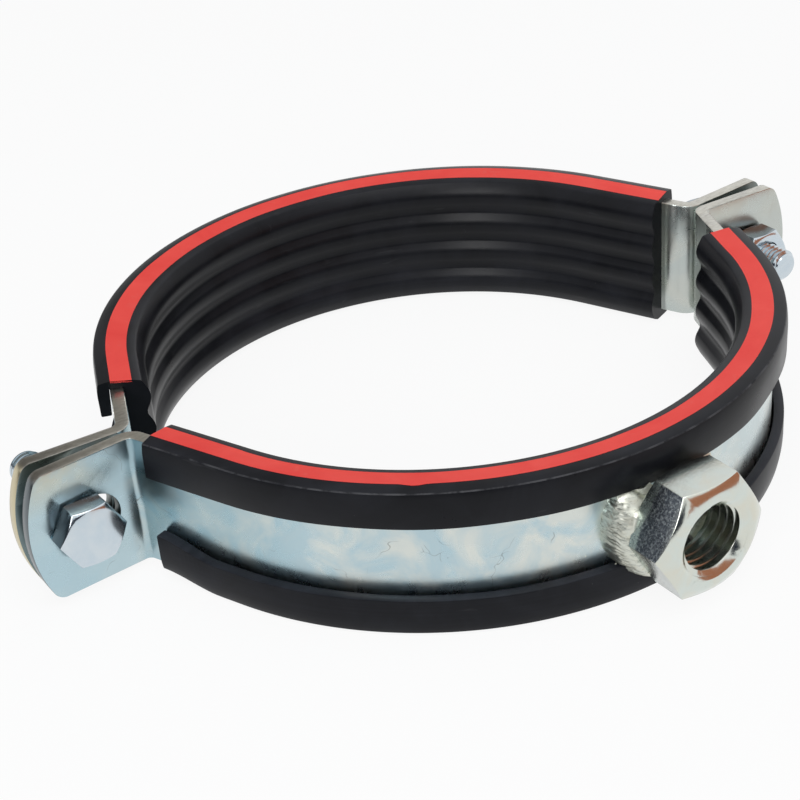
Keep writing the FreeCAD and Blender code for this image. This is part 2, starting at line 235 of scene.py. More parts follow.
def along_half(bm, corners, roundings=()):
    """Sweep a section of (radius, height) corners along one half's lining: long leg, arc, short leg."""
    start = Matrix.Rotation(-(QUARTER - LEG_LEAN), 4, "Z")
    leg_way = Vector((-math.cos(LEG_LEAN), -math.sin(LEG_LEAN), 0))
    far = Matrix.Translation(leg_way * LONG_LEG) @ start
    face = rounded_section(bm, corners, roundings, far)
    face = pushed(bm, face, -leg_way * LONG_LEG, steps=LONG_STEPS)
    face = swung(bm, face, (0, 0, 0), 2 * (QUARTER - LEG_LEAN), ARC_STEPS)
    return pushed(bm, face, Vector((-math.cos(LEG_LEAN), math.sin(LEG_LEAN), 0)) * SHORT_LEG, steps=SHORT_STEPS)


ARC_STEPS = 136
LONG_STEPS = 18
SHORT_STEPS = 10


def lining_corners():
    """The rubber channel's section, its lobes towards the pipe, and which corners are rounded how much."""
    corners, lobe_tops, valleys, eased = [], [], [], []
    for step in range(-2, 2):
        low = step * LOBE_PITCH
        valleys.append(len(corners))
        corners.append((PIPE_RADIUS + LOBE_DEPTH, low))
        lobe_tops += [len(corners), len(corners) + 1]
        corners.append((PIPE_RADIUS, low + LOBE_SIDE))
        corners.append((PIPE_RADIUS, low + LOBE_PITCH - LOBE_SIDE))
    eased += [0, len(corners)]
    valleys.remove(0)
    corners.append((PIPE_RADIUS + LOBE_DEPTH, RIM_CORNER_Z))
    corners.append((STRAND_INNER, RIM_TOP - RIM_SLOPE))
    corners.append((STRAND_OUTER, RIM_TOP))
    arrises = [len(corners)]
    corners.append((LIP_OUTER - ARRIS_IN, RIM_TOP - ARRIS_DROP))
    shoulders = [len(corners)]
    corners.append((LIP_OUTER, RIM_TOP - SHOULDER))
    tips = [len(corners), len(corners) + 1]
    corners.append((LIP_OUTER, LIP_EDGE_Z))
    corners.append((BAND_OUTER + LIP_GAP, LIP_EDGE_Z))
    corners.append((BAND_OUTER + FILM, BAND_HALF + FILM))
    corners.append((BAND_INNER - FILM, BAND_HALF + FILM))
    corners.append((BAND_INNER - FILM, -BAND_HALF - FILM))
    corners.append((BAND_OUTER + FILM, -BAND_HALF - FILM))
    tips += [len(corners), len(corners) + 1]
    corners.append((BAND_OUTER + LIP_GAP, -LIP_EDGE_Z))
    corners.append((LIP_OUTER, -LIP_EDGE_Z))
    shoulders.append(len(corners))
    corners.append((LIP_OUTER, SHOULDER - RIM_TOP))
    arrises.append(len(corners))
    corners.append((LIP_OUTER - ARRIS_IN, ARRIS_DROP - RIM_TOP))
    corners.append((STRAND_OUTER, -RIM_TOP))
    eased.append(len(corners))
    corners.append((STRAND_INNER, -RIM_TOP))
    return corners, [
        (lobe_tops, CREST_ROUND, 4),
        (valleys, 0.9 * MM, 3),
        (eased, 0.35 * MM, 2),
        (shoulders, 0.9 * MM, 3),
        (arrises, ARRIS_ROUND, 3),
        (tips, 0.3 * MM, 2),
    ]


LOBE_SIDE = 3.0 * MM
CREST_ROUND = 1.0 * MM
ARRIS_IN = 0.4 * MM
ARRIS_DROP = 0.45 * MM
ARRIS_ROUND = 0.22 * MM
FILM = 0.05 * MM


def across_half(place):
    """Distance from the pipe's axis, measured square to the half's line, and how far along a leg."""
    radius = math.hypot(place.x, place.y)
    leg_run = abs(place.y) * math.sin(LEG_LEAN) - place.x * math.cos(LEG_LEAN)
    if leg_run > 0:
        radius = place.x * math.sin(LEG_LEAN) + abs(place.y) * math.cos(LEG_LEAN)
    return radius, max(0.0, leg_run)


def eased_share(value, low, high):
    share = max(0.0, min(1.0, (value - low) / (high - low)))
    return share * share * (3 - 2 * share)


def lining(name, turn, seed, curled):
    """Rubber channel pushed on by hand: its lips wander a little, and one end of a lip curls up."""
    corners, roundings = lining_corners()
    bm = bmesh.new()
    along_half(bm, corners, roundings)
    tidied(bm)
    # Faces along the outer arris take the second material: a grey line that is partly chafing and partly painted
    # highlight.
    for face in bm.faces:
        middle = face.calc_center_median()
        off = across_half(middle)[0] - (LIP_OUTER - ARRIS_IN)
        if math.hypot(off, abs(middle.z) - (RIM_TOP - ARRIS_DROP)) < ARRIS_ROUND:
            face.material_index = 1
    for vert in bm.verts:
        radius, leg_run = across_half(vert.co)
        if radius < BAND_OUTER + 2 * FILM:
            continue
        free = max(0.0, 1.0 - (abs(vert.co.z) - LIP_EDGE_Z) / (RIM_TOP - LIP_EDGE_Z))
        side = math.copysign(3, vert.co.z)
        drift = noise.noise(Vector((vert.co.y * 60, side, seed)))
        lift = noise.noise(Vector((vert.co.y * 45, seed, side)))
        away = Vector((vert.co.x, vert.co.y, 0)).normalized()
        low_end = vert.co.z < 0 and vert.co.y < 0
        curl = eased_share(leg_run, LONG_LEG - CURL_REACH, LONG_LEG) * curled if low_end else 0.0
        hug = curl * LIP_HUG if radius < LIP_OUTER - MM else 0.0
        vert.co += away * (LIP_WANDER * drift * free * free - hug)
        vert.co.z += LIP_WANDER * lift * free + curl * (CURL_RISE + CURL_TIP * free)
    return placed(smoothed(new_object(name, bm), math.radians(40)), turn)


CURL_REACH = 15.0 * MM
CURL_RISE = 2.1 * MM
CURL_TIP = 0.7 * MM
LIP_HUG = 0.4 * MM
LIP_WANDER = 0.28 * MM


def strand(name, turn, seed, nick):
    """Red strand: flush in the rim, its two edges uneven where the two rubbers met in the die."""
    corners = [
        (STRAND_INNER, RIM_TOP - RIM_SLOPE - STRAND_DEPTH * 0.5),
        (STRAND_INNER, RIM_TOP - RIM_SLOPE + FILM),
        (STRAND_INNER + 1.2 * MM, RIM_TOP - RIM_SLOPE * 0.8 + FILM),
        (STRAND_INNER + 2.4 * MM, RIM_TOP - RIM_SLOPE * 0.48 + FILM),
        (STRAND_OUTER - 1.0 * MM, RIM_TOP - RIM_SLOPE * 0.18 + FILM),
        (STRAND_OUTER, RIM_TOP + FILM),
        (STRAND_OUTER, RIM_TOP - STRAND_DEPTH * 0.5),
    ]
    bm = bmesh.new()
    along_half(bm, corners)
    tidied(bm)
    middle = (STRAND_INNER + STRAND_OUTER) / 2
    for vert in bm.verts:
        flat = Vector((vert.co.x, vert.co.y, 0))
        off = flat.length - middle if vert.co.x > STRAND_INNER * math.sin(LEG_LEAN) else 0
        wander = noise.noise(Vector((vert.co.y * 70, math.copysign(4, off), seed))) * STRAND_WANDER
        near = eased_share(STRAND_NICK[1] - abs(vert.co.y - STRAND_NICK[0]), 0, STRAND_NICK[1]) * nick
        if off:
            wander += STRAND_NICK[2] * near * (off > 2 * MM)
            vert.co += flat.normalized() * wander * math.copysign(1, off)
    return placed(smoothed(new_object(name, bm), math.radians(30)), turn)


STRAND_WANDER = 0.14 * MM
STRAND_NICK = (-46.7 * MM, 2.6 * MM, 0.5 * MM)


def band(name, turn):
    """Strip bent edge-on round the arc, two legs and two ears, then slotted and trimmed."""
    bm = bmesh.new()
    strip = [
        (BAND_INNER, -BAND_HALF), (BAND_OUTER, -BAND_HALF),
        (BAND_OUTER, BAND_HALF), (BAND_INNER, BAND_HALF),
    ]
    start = Matrix.Rotation(-(QUARTER - LEG_LEAN), 4, "Z")
    face = section_face(bm, strip, start)
    first = face
    face = swung(bm, face, (0, 0, 0), 2 * (QUARTER - LEG_LEAN), ARC_STEPS)
    leg_and_ear(bm, face, 1)
    bm.faces.ensure_lookup_table()
    low_end = [
        item for item in bm.faces
        if len(item.verts) == 4 and item.is_valid and (item.calc_center_median() - start_centre(start)).length < 1e-6
    ]
    leg_and_ear(bm, low_end[0], -1)
    tidied(bm)
    piece = new_object(name, bm)
    boolean(piece, blank_outline(), "INTERSECT")
    for side in (1, -1):
        boolean(piece, slot_cutter(side), "DIFFERENCE")
    rounded(piece, EDGE_ROUND)
    return placed(smoothed(piece), turn)


def start_centre(start):
    return start @ Vector(((BAND_INNER + BAND_OUTER) / 2, 0, 0))


def leg_and_ear(bm, face, side):
    """From the arc's end: straight leg, bend, then the ear with its slight tilt."""
    leg_way = Vector((-math.cos(LEG_LEAN), side * math.sin(LEG_LEAN), 0))
    ear_way = Vector((math.sin(EAR_TILT), side * math.cos(EAR_TILT), 0))
    face = pushed(bm, face, leg_way * LEG_RUN, steps=4)
    face = swung(
        bm, face, (BEND_X, side * BEND_Y, 0), -side * (QUARTER - LEG_LEAN + EAR_TILT), BEND_STEPS)
    ear_start = BEND_Y + BEND_RADIUS * math.sin(EAR_TILT)
    run = (EAR_REACH - ear_start) / math.cos(EAR_TILT) + 0.5 * MM
    pushed(bm, face, ear_way * run, steps=1)


BEND_STEPS = 10


def blank_outline():
    """Plate with the strip's outline seen along the clamp: both ends curved, their corners rounded."""
    reach = math.asin((BAND_HALF + OUTLINE_ROOM) / EAR_END_RADIUS)
    inside = [share / 12 * END_SHARE for share in range(-12, 13)]
    end = [
        (EAR_REACH - EAR_END_RADIUS * (1 - math.cos(reach * share)), EAR_END_RADIUS * math.sin(reach * share))
        for share in (-1, *inside, 1)
    ]
    outline = [*end, *((-across, up) for across, up in reversed(end))]
    last = len(end)
    bm = bmesh.new()
    place = Matrix.Translation((-0.1 * BAND_OUTER, 0, 0)) @ Matrix.Rotation(QUARTER, 4, "Z")
    face = rounded_section(bm, outline, [((0, last - 1, last, 2 * last - 1), EAR_CORNER, 6)], place)
    pushed(bm, face, Vector((1.2 * BAND_OUTER, 0, 0)))
    tidied(bm)
    return new_object("outline", bm)


END_SHARE = 0.84
OUTLINE_ROOM = 0.03 * MM
EAR_CORNER = 1.8 * MM


def slot_cutter(side):
    """Round-ended bar as wide as the ear's slot."""
    bm = bmesh.new()
    bmesh.ops.create_cone(
        bm, segments=48, radius1=SLOT_WIDTH / 2, radius2=SLOT_WIDTH / 2, depth=BEND_X * 3, cap_ends=True)
    for vert in bm.verts:
        vert.co.y += math.copysign(SLOT_TRAVEL / 2, vert.co.y)
    bmesh.ops.rotate(bm, verts=bm.verts, cent=(0, 0, 0), matrix=Matrix.Rotation(QUARTER, 3, "Y"))
    bmesh.ops.translate(bm, verts=bm.verts, vec=(BEND_X * 0.5, side * SLOT_PLACE, 0))
    return new_object("slot", bm)


# Bolts, nuts and their threads


def threaded_rod(name, major, minor, pitch, low, high, steps=48):
    """Closed rod with a true helical thread: one pitch of profile spun upwards, then cut flat at both ends."""
    bm = bmesh.new()
    flat = pitch / 8
    profile = [(minor, 0), (minor, flat * 1.9), (major, flat * 4.2), (major, flat * 5.3), (minor, pitch)]
    turns = math.ceil((high - low) / pitch) + 3
    verts = [bm.verts.new((radius, 0, low - 1.5 * pitch + up)) for radius, up in profile]
    edges = [bm.edges.new(pair) for pair in zip(verts, verts[1:])]
    bmesh.ops.spin(
        bm, geom=[*verts, *edges], cent=(0, 0, 0), axis=(0, 0, 1), dvec=(0, 0, pitch / steps),
        angle=2 * math.pi * turns, steps=steps * turns, use_duplicate=False,
    )
    bmesh.ops.remove_doubles(bm, verts=bm.verts, dist=pitch / 500)
    for height, up in ((low, -1), (high, 1)):
        cut = bmesh.ops.bisect_plane(
            bm, geom=[*bm.verts, *bm.edges, *bm.faces], plane_co=(0, 0, height), plane_no=(0, 0, up),
            clear_outer=True, dist=1e-8,
        )
        rim = [item for item in cut["geom_cut"] if isinstance(item, bmesh.types.BMEdge)]
        bmesh.ops.edgenet_fill(bm, edges=rim)
    bmesh.ops.recalc_face_normals(bm, faces=bm.faces)
    return new_object(name, bm)


def hexagon(name, across, low, high, foot_share=None, top_share=None):
    """Hexagon with a corner on X; an end with a crown share is turned down to that circle by a 30 degree cone."""
    corner = across / 2 / math.cos(math.pi / 6)
    wide = corner * 1.1
    bm = bmesh.new()
    bmesh.ops.create_cone(
        bm, segments=6, radius1=corner, radius2=corner, depth=high - low, cap_ends=True,
        matrix=Matrix.Translation((0, 0, (high + low) / 2)) @ Matrix.Rotation(QUARTER, 4, "Z"),
    )
    piece = new_object(name, bm)
    outline = []
    for end, share, away in ((low, foot_share, -1), (high, top_share, 1)):
        crown = across / 2 * share if share else wide
        level = end if share else end + away * MM
        drop = (wide - crown) * math.tan(math.pi / 6)
        outline.append([(0, level), (crown, level), (wide, level - away * drop)])
    foot, top = outline
    return boolean(piece, turned_solid("crown", [*foot, *reversed(top)]), "INTERSECT")


def joined(name, *parts):
    """Several closed shells as one piece."""
    bm = bmesh.new()
    for part in parts:
        bm.from_mesh(part.data)
        bpy.data.objects.remove(part)
    return new_object(name, bm)


def laid(towards, place, seat):
    """The Z axis laid along +Y or -Y, its zero at the named place."""
    return Matrix.Translation((place, seat, 0)) @ Matrix.Rotation(-QUARTER * towards, 4, "X")


def ear_bolt(name, node, towards, place):
    """Hex head bolt over its CAD place: head, raised bearing face and a thread up to a chamfered end."""
    low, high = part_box(node)
    length = high.y - low.y
    shank_foot = HEAD_HEIGHT
    head = hexagon(name + "_head", HEX_ACROSS, 0, shank_foot, foot_share=CROWN_SHARE)
    rounded(head, 0.12 * MM)
    bearing = turned_solid(name + "_bearing", [
        (0, shank_foot - 0.2 * MM), (5.8 * MM, shank_foot - 0.2 * MM),
        (5.8 * MM, shank_foot + 0.22 * MM), (5.6 * MM, shank_foot + 0.3 * MM), (0, shank_foot + 0.3 * MM),
    ])
    rod = threaded_rod(name + "_rod", BOLT_RADIUS, BOLT_RADIUS - 0.7 * MM, BOLT_PITCH, shank_foot, length)
    blank = turned_solid("blank", [
        (0, shank_foot - MM), (BOLT_RADIUS * 1.1, shank_foot - MM), (BOLT_RADIUS * 1.1, length - 1.3 * MM),
        (BOLT_RADIUS - 1.0 * MM, length), (0, length),
    ])
    boolean(rod, blank, "INTERSECT")
    piece = joined(name, head, bearing, rod)
    seat = low.y if towards > 0 else high.y
    return placed(smoothed(piece), laid(towards, place, seat))


def ear_nut(name, node, towards, place):
    """Plain hex nut with both faces crowned and a countersunk bore."""
    low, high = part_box(node)
    height = high.y - low.y
    piece = hexagon(name, HEX_ACROSS, 0, height, foot_share=CROWN_SHARE, top_share=CROWN_SHARE)
    boolean(piece, countersink("bore", BOLT_RADIUS + 0.03 * MM, 4.35 * MM, height), "DIFFERENCE")
    rounded(piece, 0.12 * MM)
    seat = low.y if towards > 0 else high.y
    return placed(smoothed(piece), laid(towards, place, seat))


def countersink(name, bore, mouth, height, slope=math.radians(45)):
    """Bore with a cone at each end, its sides at the named angle to the nut's face."""
    over = MM / math.tan(slope)
    sink = (mouth - bore) * math.tan(slope)
    return turned_solid(name, [
        (0, -MM), (mouth + over, -MM), (bore, sink), (bore, height - sink),
        (mouth + over, height + MM), (0, height + MM),
    ])


def connection_nut():
    """Tall nut with a cut thread, crowned at its mouth and nearly square where it is welded on."""
    height = NUT_FRONT - NUT_BACK
    piece = hexagon("connection_nut_skin", NUT_ACROSS, 0, height, ROD_FOOT_SHARE, ROD_CROWN_SHARE)
    boolean(piece, countersink("mouths", ROD_MINOR, ROD_MOUTH, height, math.radians(32)), "DIFFERENCE")
    rounded(piece, 0.1 * MM, segments=2)
    thread = threaded_rod("thread", ROD_MAJOR, ROD_MINOR - 0.02 * MM, ROD_PITCH, -MM, height + MM, steps=64)
    boolean(piece, thread, "DIFFERENCE")
    for face in piece.data.polygons:
        if math.hypot(face.center.x, face.center.y) < ROD_MAJOR + 0.05 * MM and abs(face.normal.z) < 0.8:
            face.material_index = 1
    return placed(smoothed(piece), laid(-1, 0, -NUT_BACK))


def rippled(vert, radius, side):
    """Move a point of a bead: its foot follows the band, ripples run across it and its toe wanders."""
    angle = math.atan2(vert.co.y, vert.co.x)
    toe = ring_depth(radius)
    low = eased_share(NUT_BACK + WELD_CLIMB - vert.co.z, 0, NUT_BACK + WELD_CLIMB - toe)
    vert.co.z += (ring_depth(vert.co.x) - toe) * low
    bend = 0.5 * math.sin((vert.co.z - NUT_BACK) / (2 * MM))
    wander = noise.noise(Vector((angle * 2.3, 3.0 * low, 7.0 + side)))
    ripple = math.sin(2 * math.pi * (angle * radius / WELD_RIPPLE + bend + wander))
    rough = noise.fractal(vert.co / (1.6 * MM) + Vector((side, 0, 0)), 0.9, 2.0, 3)
    body = math.sin(math.pi * max(0.0, min(1.0, low))) ** 0.5
    toes = noise.noise(Vector((angle * 7.0, side * 5.0, 2.0))) * WELD_WANDER * low
    outward = Vector((vert.co.x, vert.co.y, 0)).normalized()
    vert.co += outward * (toes + ripple * 0.08 * MM * body + rough * 0.11 * MM)


def weld(name, side):
    """Hand-laid bead from band to nut: ripples run across it, its toes wander, and the lips stay clear."""
    bm = bmesh.new()
    toe = ring_depth(WELD_REACH)
    first = Vector((WELD_REACH, toe))
    last = Vector((WELD_GRIP, NUT_BACK + WELD_CLIMB))
    section = [(WELD_HOLLOW, toe - 2 * MM), (WELD_REACH, toe - 2 * MM)]
    for row in range(WELD_ROWS + 1):
        share = row / WELD_ROWS
        swell = WELD_SWELL * math.sin(share * math.pi) ** 0.8
        section.append(tuple(first.lerp(last, share) + Vector((swell, 0.3 * swell))))
    section += [(WELD_GRIP - MM, NUT_BACK + WELD_CLIMB), (WELD_HOLLOW, NUT_BACK - FILM)]
    face = section_face(bm, section, Matrix.Rotation(-WELD_SPAN / 2, 4, "Z"))
    swung(bm, face, (0, 0, 0), WELD_SPAN, WELD_STEPS)
    tidied(bm)
    for vert in bm.verts:
        radius = math.hypot(vert.co.x, vert.co.y)
        if radius > WELD_GRIP - 0.5 * MM:
            rippled(vert, radius, side)
        if radius > WELD_HOLLOW + MM:
            under = eased_share(vert.co.y * side, *WELD_FADE)
            vert.co.z -= max(0.0, math.hypot(vert.co.x, vert.co.z) - WELD_UNDER_LIP) * under
    bead = new_object(name + "_body", bm)
    if side < 0:
        placed(bead, Matrix.Rotation(math.pi, 4, "Z"))
    for edge in (1, -1):
        boolean(bead, lip_room(edge), "DIFFERENCE")
    piece = joined(name, bead, *(spatter(side * x * MM, z * MM, size * MM, out * MM) for x, z, size, out in SPATTER))
    return placed(smoothed(piece, math.radians(60)), laid(-1, 0, 0))


def ring_depth(across):
    """How far out the band's surface stands at a place beside the nut's axis."""
    return math.sqrt(BAND_OUTER ** 2 - across ** 2)


def lip_room(edge):
    """The space that a lip takes over the band, as a ring laid across the bead."""
    low, high = (8.25 * MM, 24 * MM) if edge > 0 else (-24 * MM, -8.25 * MM)
    inner = BAND_OUTER - 4 * MM
    reach = LIP_OUTER + 0.15 * MM
    ring = turned_solid("lip_room", [
        (inner, low), (reach, low), (reach, high), (inner, high), (inner, low)], 180)
    return placed(ring, Matrix.Rotation(-QUARTER, 4, "X"))


def spatter(across, up, size, out):
    """A drop of weld metal thrown on the band or on a lip."""
    bm = bmesh.new()
    bmesh.ops.create_icosphere(bm, subdivisions=2, radius=size)
    bmesh.ops.scale(bm, vec=(1.2, 0.9, 0.7), verts=bm.verts)
    bmesh.ops.translate(bm, vec=(across, up, ring_depth(across) + out), verts=bm.verts)
    return new_object("drop", bm)


WELD_REACH = 14.4 * MM
WELD_GRIP = 12.7 * MM
WELD_HOLLOW = 7.4 * MM
WELD_CLIMB = 1.3 * MM
WELD_SWELL = 0.6 * MM
WELD_WANDER = 0.7 * MM
WELD_RIPPLE = 0.95 * MM
WELD_SPAN = math.radians(120)
WELD_FADE = (5.4 * MM, 8.2 * MM)
WELD_UNDER_LIP = 77.2 * MM
WELD_STEPS = 170
WELD_ROWS = 24
SPATTER = [(12.1, -8.4, 0.26, 1.5), (10.3, -8.4, 0.3, 1.9), (17.6, -5.4, 0.14, 0.03), (16.4, 6.9, 0.16, 0.03)]


# Shader helpers


def add(tree, kind, wires=None, **settings):
    """A node with its settings, its inputs wired to sockets or set to values."""
    node = tree.nodes.new(kind)
    for key, value in settings.items():
        setattr(node, key, value)
    for key, value in (wires or {}).items():
        if isinstance(value, bpy.types.NodeSocket):
            tree.links.new(value, node.inputs[key])
        else:
            node.inputs[key].default_value = value
    return node


def new_group(name, inputs, outputs):
    """Shader node group with named float, vector or colour sockets; gives tree, input node and output node."""
    tree = bpy.data.node_groups.new(name, "ShaderNodeTree")
    for direction, sockets in (("INPUT", inputs), ("OUTPUT", outputs)):
        for label, kind in sockets:
            tree.interface.new_socket(label, in_out=direction, socket_type=kind)
    return tree, tree.nodes.new("NodeGroupInput").outputs, tree.nodes.new("NodeGroupOutput").inputs


def use(tree, group, **values):
    """The group placed in a material, its spaces written as underscores here."""
    node = tree.nodes.new("ShaderNodeGroup")
    node.node_tree = group
    for key, value in values.items():
        label = key.replace("_", " ")
        if isinstance(value, bpy.types.NodeSocket):
            tree.links.new(value, node.inputs[label])
        else:
            node.inputs[label].default_value = value
    return node.outputs


FLOAT, VECTOR, COLOUR = "NodeSocketFloat", "NodeSocketVector", "NodeSocketColor"


def math_node(tree, operation, first, second=0.0, clamp=False):
    node = add(tree, "ShaderNodeMath", {0: first, 1: second}, operation=operation, use_clamp=clamp)
    return node.outputs[0]


def ranged(tree, value, low, high, to_low=0.0, to_high=1.0):
    node = add(tree, "ShaderNodeMapRange", {
        "Value": value, "From Min": low, "From Max": high, "To Min": to_low, "To Max": to_high})
    return node.outputs["Result"]


def mixed(tree, share, first, second, blend="MIX"):
    """Two colours mixed by a share."""
    node = add(tree, "ShaderNodeMix", data_type="RGBA", blend_type=blend)
    for socket, value in ((0, share), (6, first), (7, second)):
        if isinstance(value, bpy.types.NodeSocket):
            tree.links.new(value, node.inputs[socket])
        else:
            node.inputs[socket].default_value = value
    return node.outputs[2]


def make_run_group():
    """Coordinates that follow the strip: along the ring, outwards and up, in millimetres."""
    tree, _, out = new_group("ring_run", [], [("Run", VECTOR)])
    place = add(tree, "ShaderNodeTexCoord").outputs["Object"]
    axes = add(tree, "ShaderNodeSeparateXYZ", {0: place}).outputs
    angle = math_node(tree, "ARCTAN2", axes[1], axes[0])
    around = math_node(tree, "MULTIPLY", angle, BAND_OUTER / MM)
    flat = add(tree, "ShaderNodeCombineXYZ", {0: axes[0], 1: axes[1]}).outputs[0]
    radius = add(tree, "ShaderNodeVectorMath", {0: flat}, operation="LENGTH").outputs["Value"]
    out_radius = math_node(tree, "MULTIPLY", radius, 1 / MM)
    height = math_node(tree, "MULTIPLY", axes[2], 1 / MM)
    run = add(tree, "ShaderNodeCombineXYZ", {0: around, 1: out_radius, 2: height}).outputs[0]
    tree.links.new(run, out["Run"])
    return tree


def make_hairline_group():
    """Fine lines along the run: a noise stretched along it, thresholded into thin marks."""
    tree, given, out = new_group(
        "hairlines", [("Run", VECTOR), ("Spacing", FLOAT), ("Stretch", FLOAT), ("Amount", FLOAT)],
        [("Lines", FLOAT), ("Grain", FLOAT)])
    squeeze = math_node(tree, "DIVIDE", 1.0, given["Spacing"])
    slow = math_node(tree, "DIVIDE", squeeze, given["Stretch"])
    scale = add(tree, "ShaderNodeCombineXYZ", {0: slow, 1: slow, 2: squeeze}).outputs[0]
    spot = add(tree, "ShaderNodeVectorMath", {0: given["Run"], 1: scale}, operation="MULTIPLY").outputs[0]
    grain = add(tree, "ShaderNodeTexNoise", {"Vector": spot, "Scale": 1.0, "Detail": 3.0}).outputs["Fac"]
    top = math_node(tree, "SUBTRACT", 0.74, math_node(tree, "MULTIPLY", given["Amount"], 0.16))
    lines = ranged(tree, math_node(tree, "SUBTRACT", grain, top), 0.0, 0.05)
    tree.links.new(lines, out["Lines"])
    tree.links.new(grain, out["Grain"])
    return tree


def make_bloom_group():
    """Patches with fairly crisp borders, as a passivated zinc surface shows, and a softer cloud."""
    tree, given, out = new_group(
        "bloom", [("Place", VECTOR), ("Size", FLOAT), ("Crispness", FLOAT), ("Cover", FLOAT)],
        [("Patches", FLOAT), ("Cloud", FLOAT)])
    scale = math_node(tree, "DIVIDE", 1.0, given["Size"])
    wide = add(tree, "ShaderNodeTexNoise", {
        "Vector": given["Place"], "Scale": scale, "Detail": 5.0, "Roughness": 0.55, "Distortion": 0.6})
    edge = math_node(tree, "SUBTRACT", 1.0, given["Cover"])
    shifted = math_node(tree, "SUBTRACT", wide.outputs["Fac"], edge)
    sharp = math_node(tree, "MULTIPLY", shifted, math_node(tree, "MULTIPLY", given["Crispness"], 20.0))
    patches = math_node(tree, "ADD", sharp, 0.5, clamp=True)
    tree.links.new(patches, out["Patches"])
    tree.links.new(wide.outputs["Fac"], out["Cloud"])
    return tree


def make_speck_group():
    """Scattered specks: cells of a point pattern, only some of which hold a speck."""
    tree, given, out = new_group(
        "specks", [("Place", VECTOR), ("Spacing", FLOAT), ("Speck Size", FLOAT), ("Share", FLOAT)],
        [("Specks", FLOAT)])
    scale = math_node(tree, "DIVIDE", 1.0, given["Spacing"])
    cells = add(tree, "ShaderNodeTexVoronoi", {"Vector": given["Place"], "Scale": scale})
    chance = add(tree, "ShaderNodeSeparateColor", {0: cells.outputs["Color"]}).outputs
    reach = math_node(tree, "MULTIPLY", given["Speck Size"], math_node(tree, "ADD", chance[1], 0.3))
    near = math_node(tree, "DIVIDE", cells.outputs["Distance"], math_node(tree, "MULTIPLY", reach, scale))
    spot = ranged(tree, near, 1.0, 0.55)
    kept = math_node(tree, "LESS_THAN", chance[0], given["Share"])
    tree.links.new(math_node(tree, "MULTIPLY", spot, kept), out["Specks"])
    return tree


def make_scratch_group():
    """Long wandering scratches: bent borders between wide cells, of which only stretches are kept."""
    tree, given, out = new_group(
        "scratches", [("Place", VECTOR), ("Spacing", FLOAT), ("Width", FLOAT), ("Share", FLOAT)],
        [("Scratches", FLOAT)])
    scale = math_node(tree, "DIVIDE", 1.0, given["Spacing"])
    sway = add(tree, "ShaderNodeTexNoise", {"Vector": given["Place"], "Scale": 0.12, "Detail": 2.0}).outputs["Color"]
    shift = add(tree, "ShaderNodeVectorMath", {0: sway, "Scale": 14.0}, operation="SCALE").outputs[0]
    bent = add(tree, "ShaderNodeVectorMath", {0: given["Place"], 1: shift}, operation="ADD").outputs[0]
    cells = add(tree, "ShaderNodeTexVoronoi", {"Vector": bent, "Scale": scale}, feature="DISTANCE_TO_EDGE")
    thin = math_node(tree, "MULTIPLY", given["Width"], scale)
    line = ranged(tree, math_node(tree, "DIVIDE", cells.outputs["Distance"], thin), 1.0, 0.4)
    kept = add(tree, "ShaderNodeTexNoise", {"Vector": given["Place"], "Scale": 0.16, "Detail": 1.0}).outputs["Fac"]
    edge = math_node(tree, "SUBTRACT", 1.0, given["Share"])
    shown = ranged(tree, math_node(tree, "SUBTRACT", kept, edge), -0.02, 0.06)
    tree.links.new(math_node(tree, "MULTIPLY", line, shown), out["Scratches"])
    return tree


def make_strip_places_group():
    """Masks for places on the strip: the left leg and ear, the right end, the ears' rims and touching faces."""
    labels = (
        "Left Leg", "Left Ear", "Left End", "Right End", "Nut Side", "Ear Rim", "Ear End", "Slot",
        "Between Ears", "Front Half")
    tree, _, out = new_group("strip_places", [], [(label, FLOAT) for label in labels])
    place = add(tree, "ShaderNodeTexCoord").outputs["Object"]
    axes = add(tree, "ShaderNodeSeparateXYZ", {0: place}).outputs
    across = math_node(tree, "ABSOLUTE", axes[0])
    deep = math_node(tree, "ABSOLUTE", axes[1])
    leg = math_node(
        tree, "MULTIPLY", ranged(tree, axes[0], -62 * MM, -71 * MM), ranged(tree, axes[0], -83 * MM, -79 * MM))
    right_end = ranged(tree, axes[0], 58 * MM, 68 * MM)
    nut_side = math_node(
        tree, "MULTIPLY", ranged(tree, axes[0], -10 * MM, 16 * MM), math_node(tree, "LESS_THAN", axes[1], 0.0))
    ear = ranged(tree, across, 80 * MM, 83 * MM)
    left_ear = math_node(tree, "MULTIPLY", ear, math_node(tree, "LESS_THAN", axes[0], 0.0))
    left_end = ranged(tree, axes[0], -84 * MM, -102 * MM)
    near_top = ranged(tree, axes[2], 6 * MM, BAND_HALF)
    near_end = ranged(tree, across, EAR_REACH - 4.5 * MM, EAR_REACH - 3 * MM)
    rim = math_node(tree, "MULTIPLY", ear, near_top)
    inside = math_node(tree, "LESS_THAN", math_node(tree, "ABSOLUTE", axes[2]), SLOT_WIDTH * 0.7)
    slot = math_node(tree, "MULTIPLY", math_node(tree, "MULTIPLY", ear, inside), ranged(tree, near_end, 1.0, 0.0))
    # The ears' faces that look at each other, which carry painted shade.
    close = math_node(tree, "MULTIPLY", ear, ranged(tree, deep, 2.9 * MM, 2.3 * MM))
    front = math_node(tree, "LESS_THAN", axes[1], 0.0)
    for label, mask in zip(labels, (
            leg, left_ear, left_end, right_end, nut_side, rim, near_end, slot, close, front)):
        tree.links.new(mask, out[label])
    return tree


RUN = make_run_group()
STRIP_PLACES = make_strip_places_group()
HAIRLINES = make_hairline_group()
BLOOM = make_bloom_group()
SPECKS = make_speck_group()
SCRATCHES = make_scratch_group()


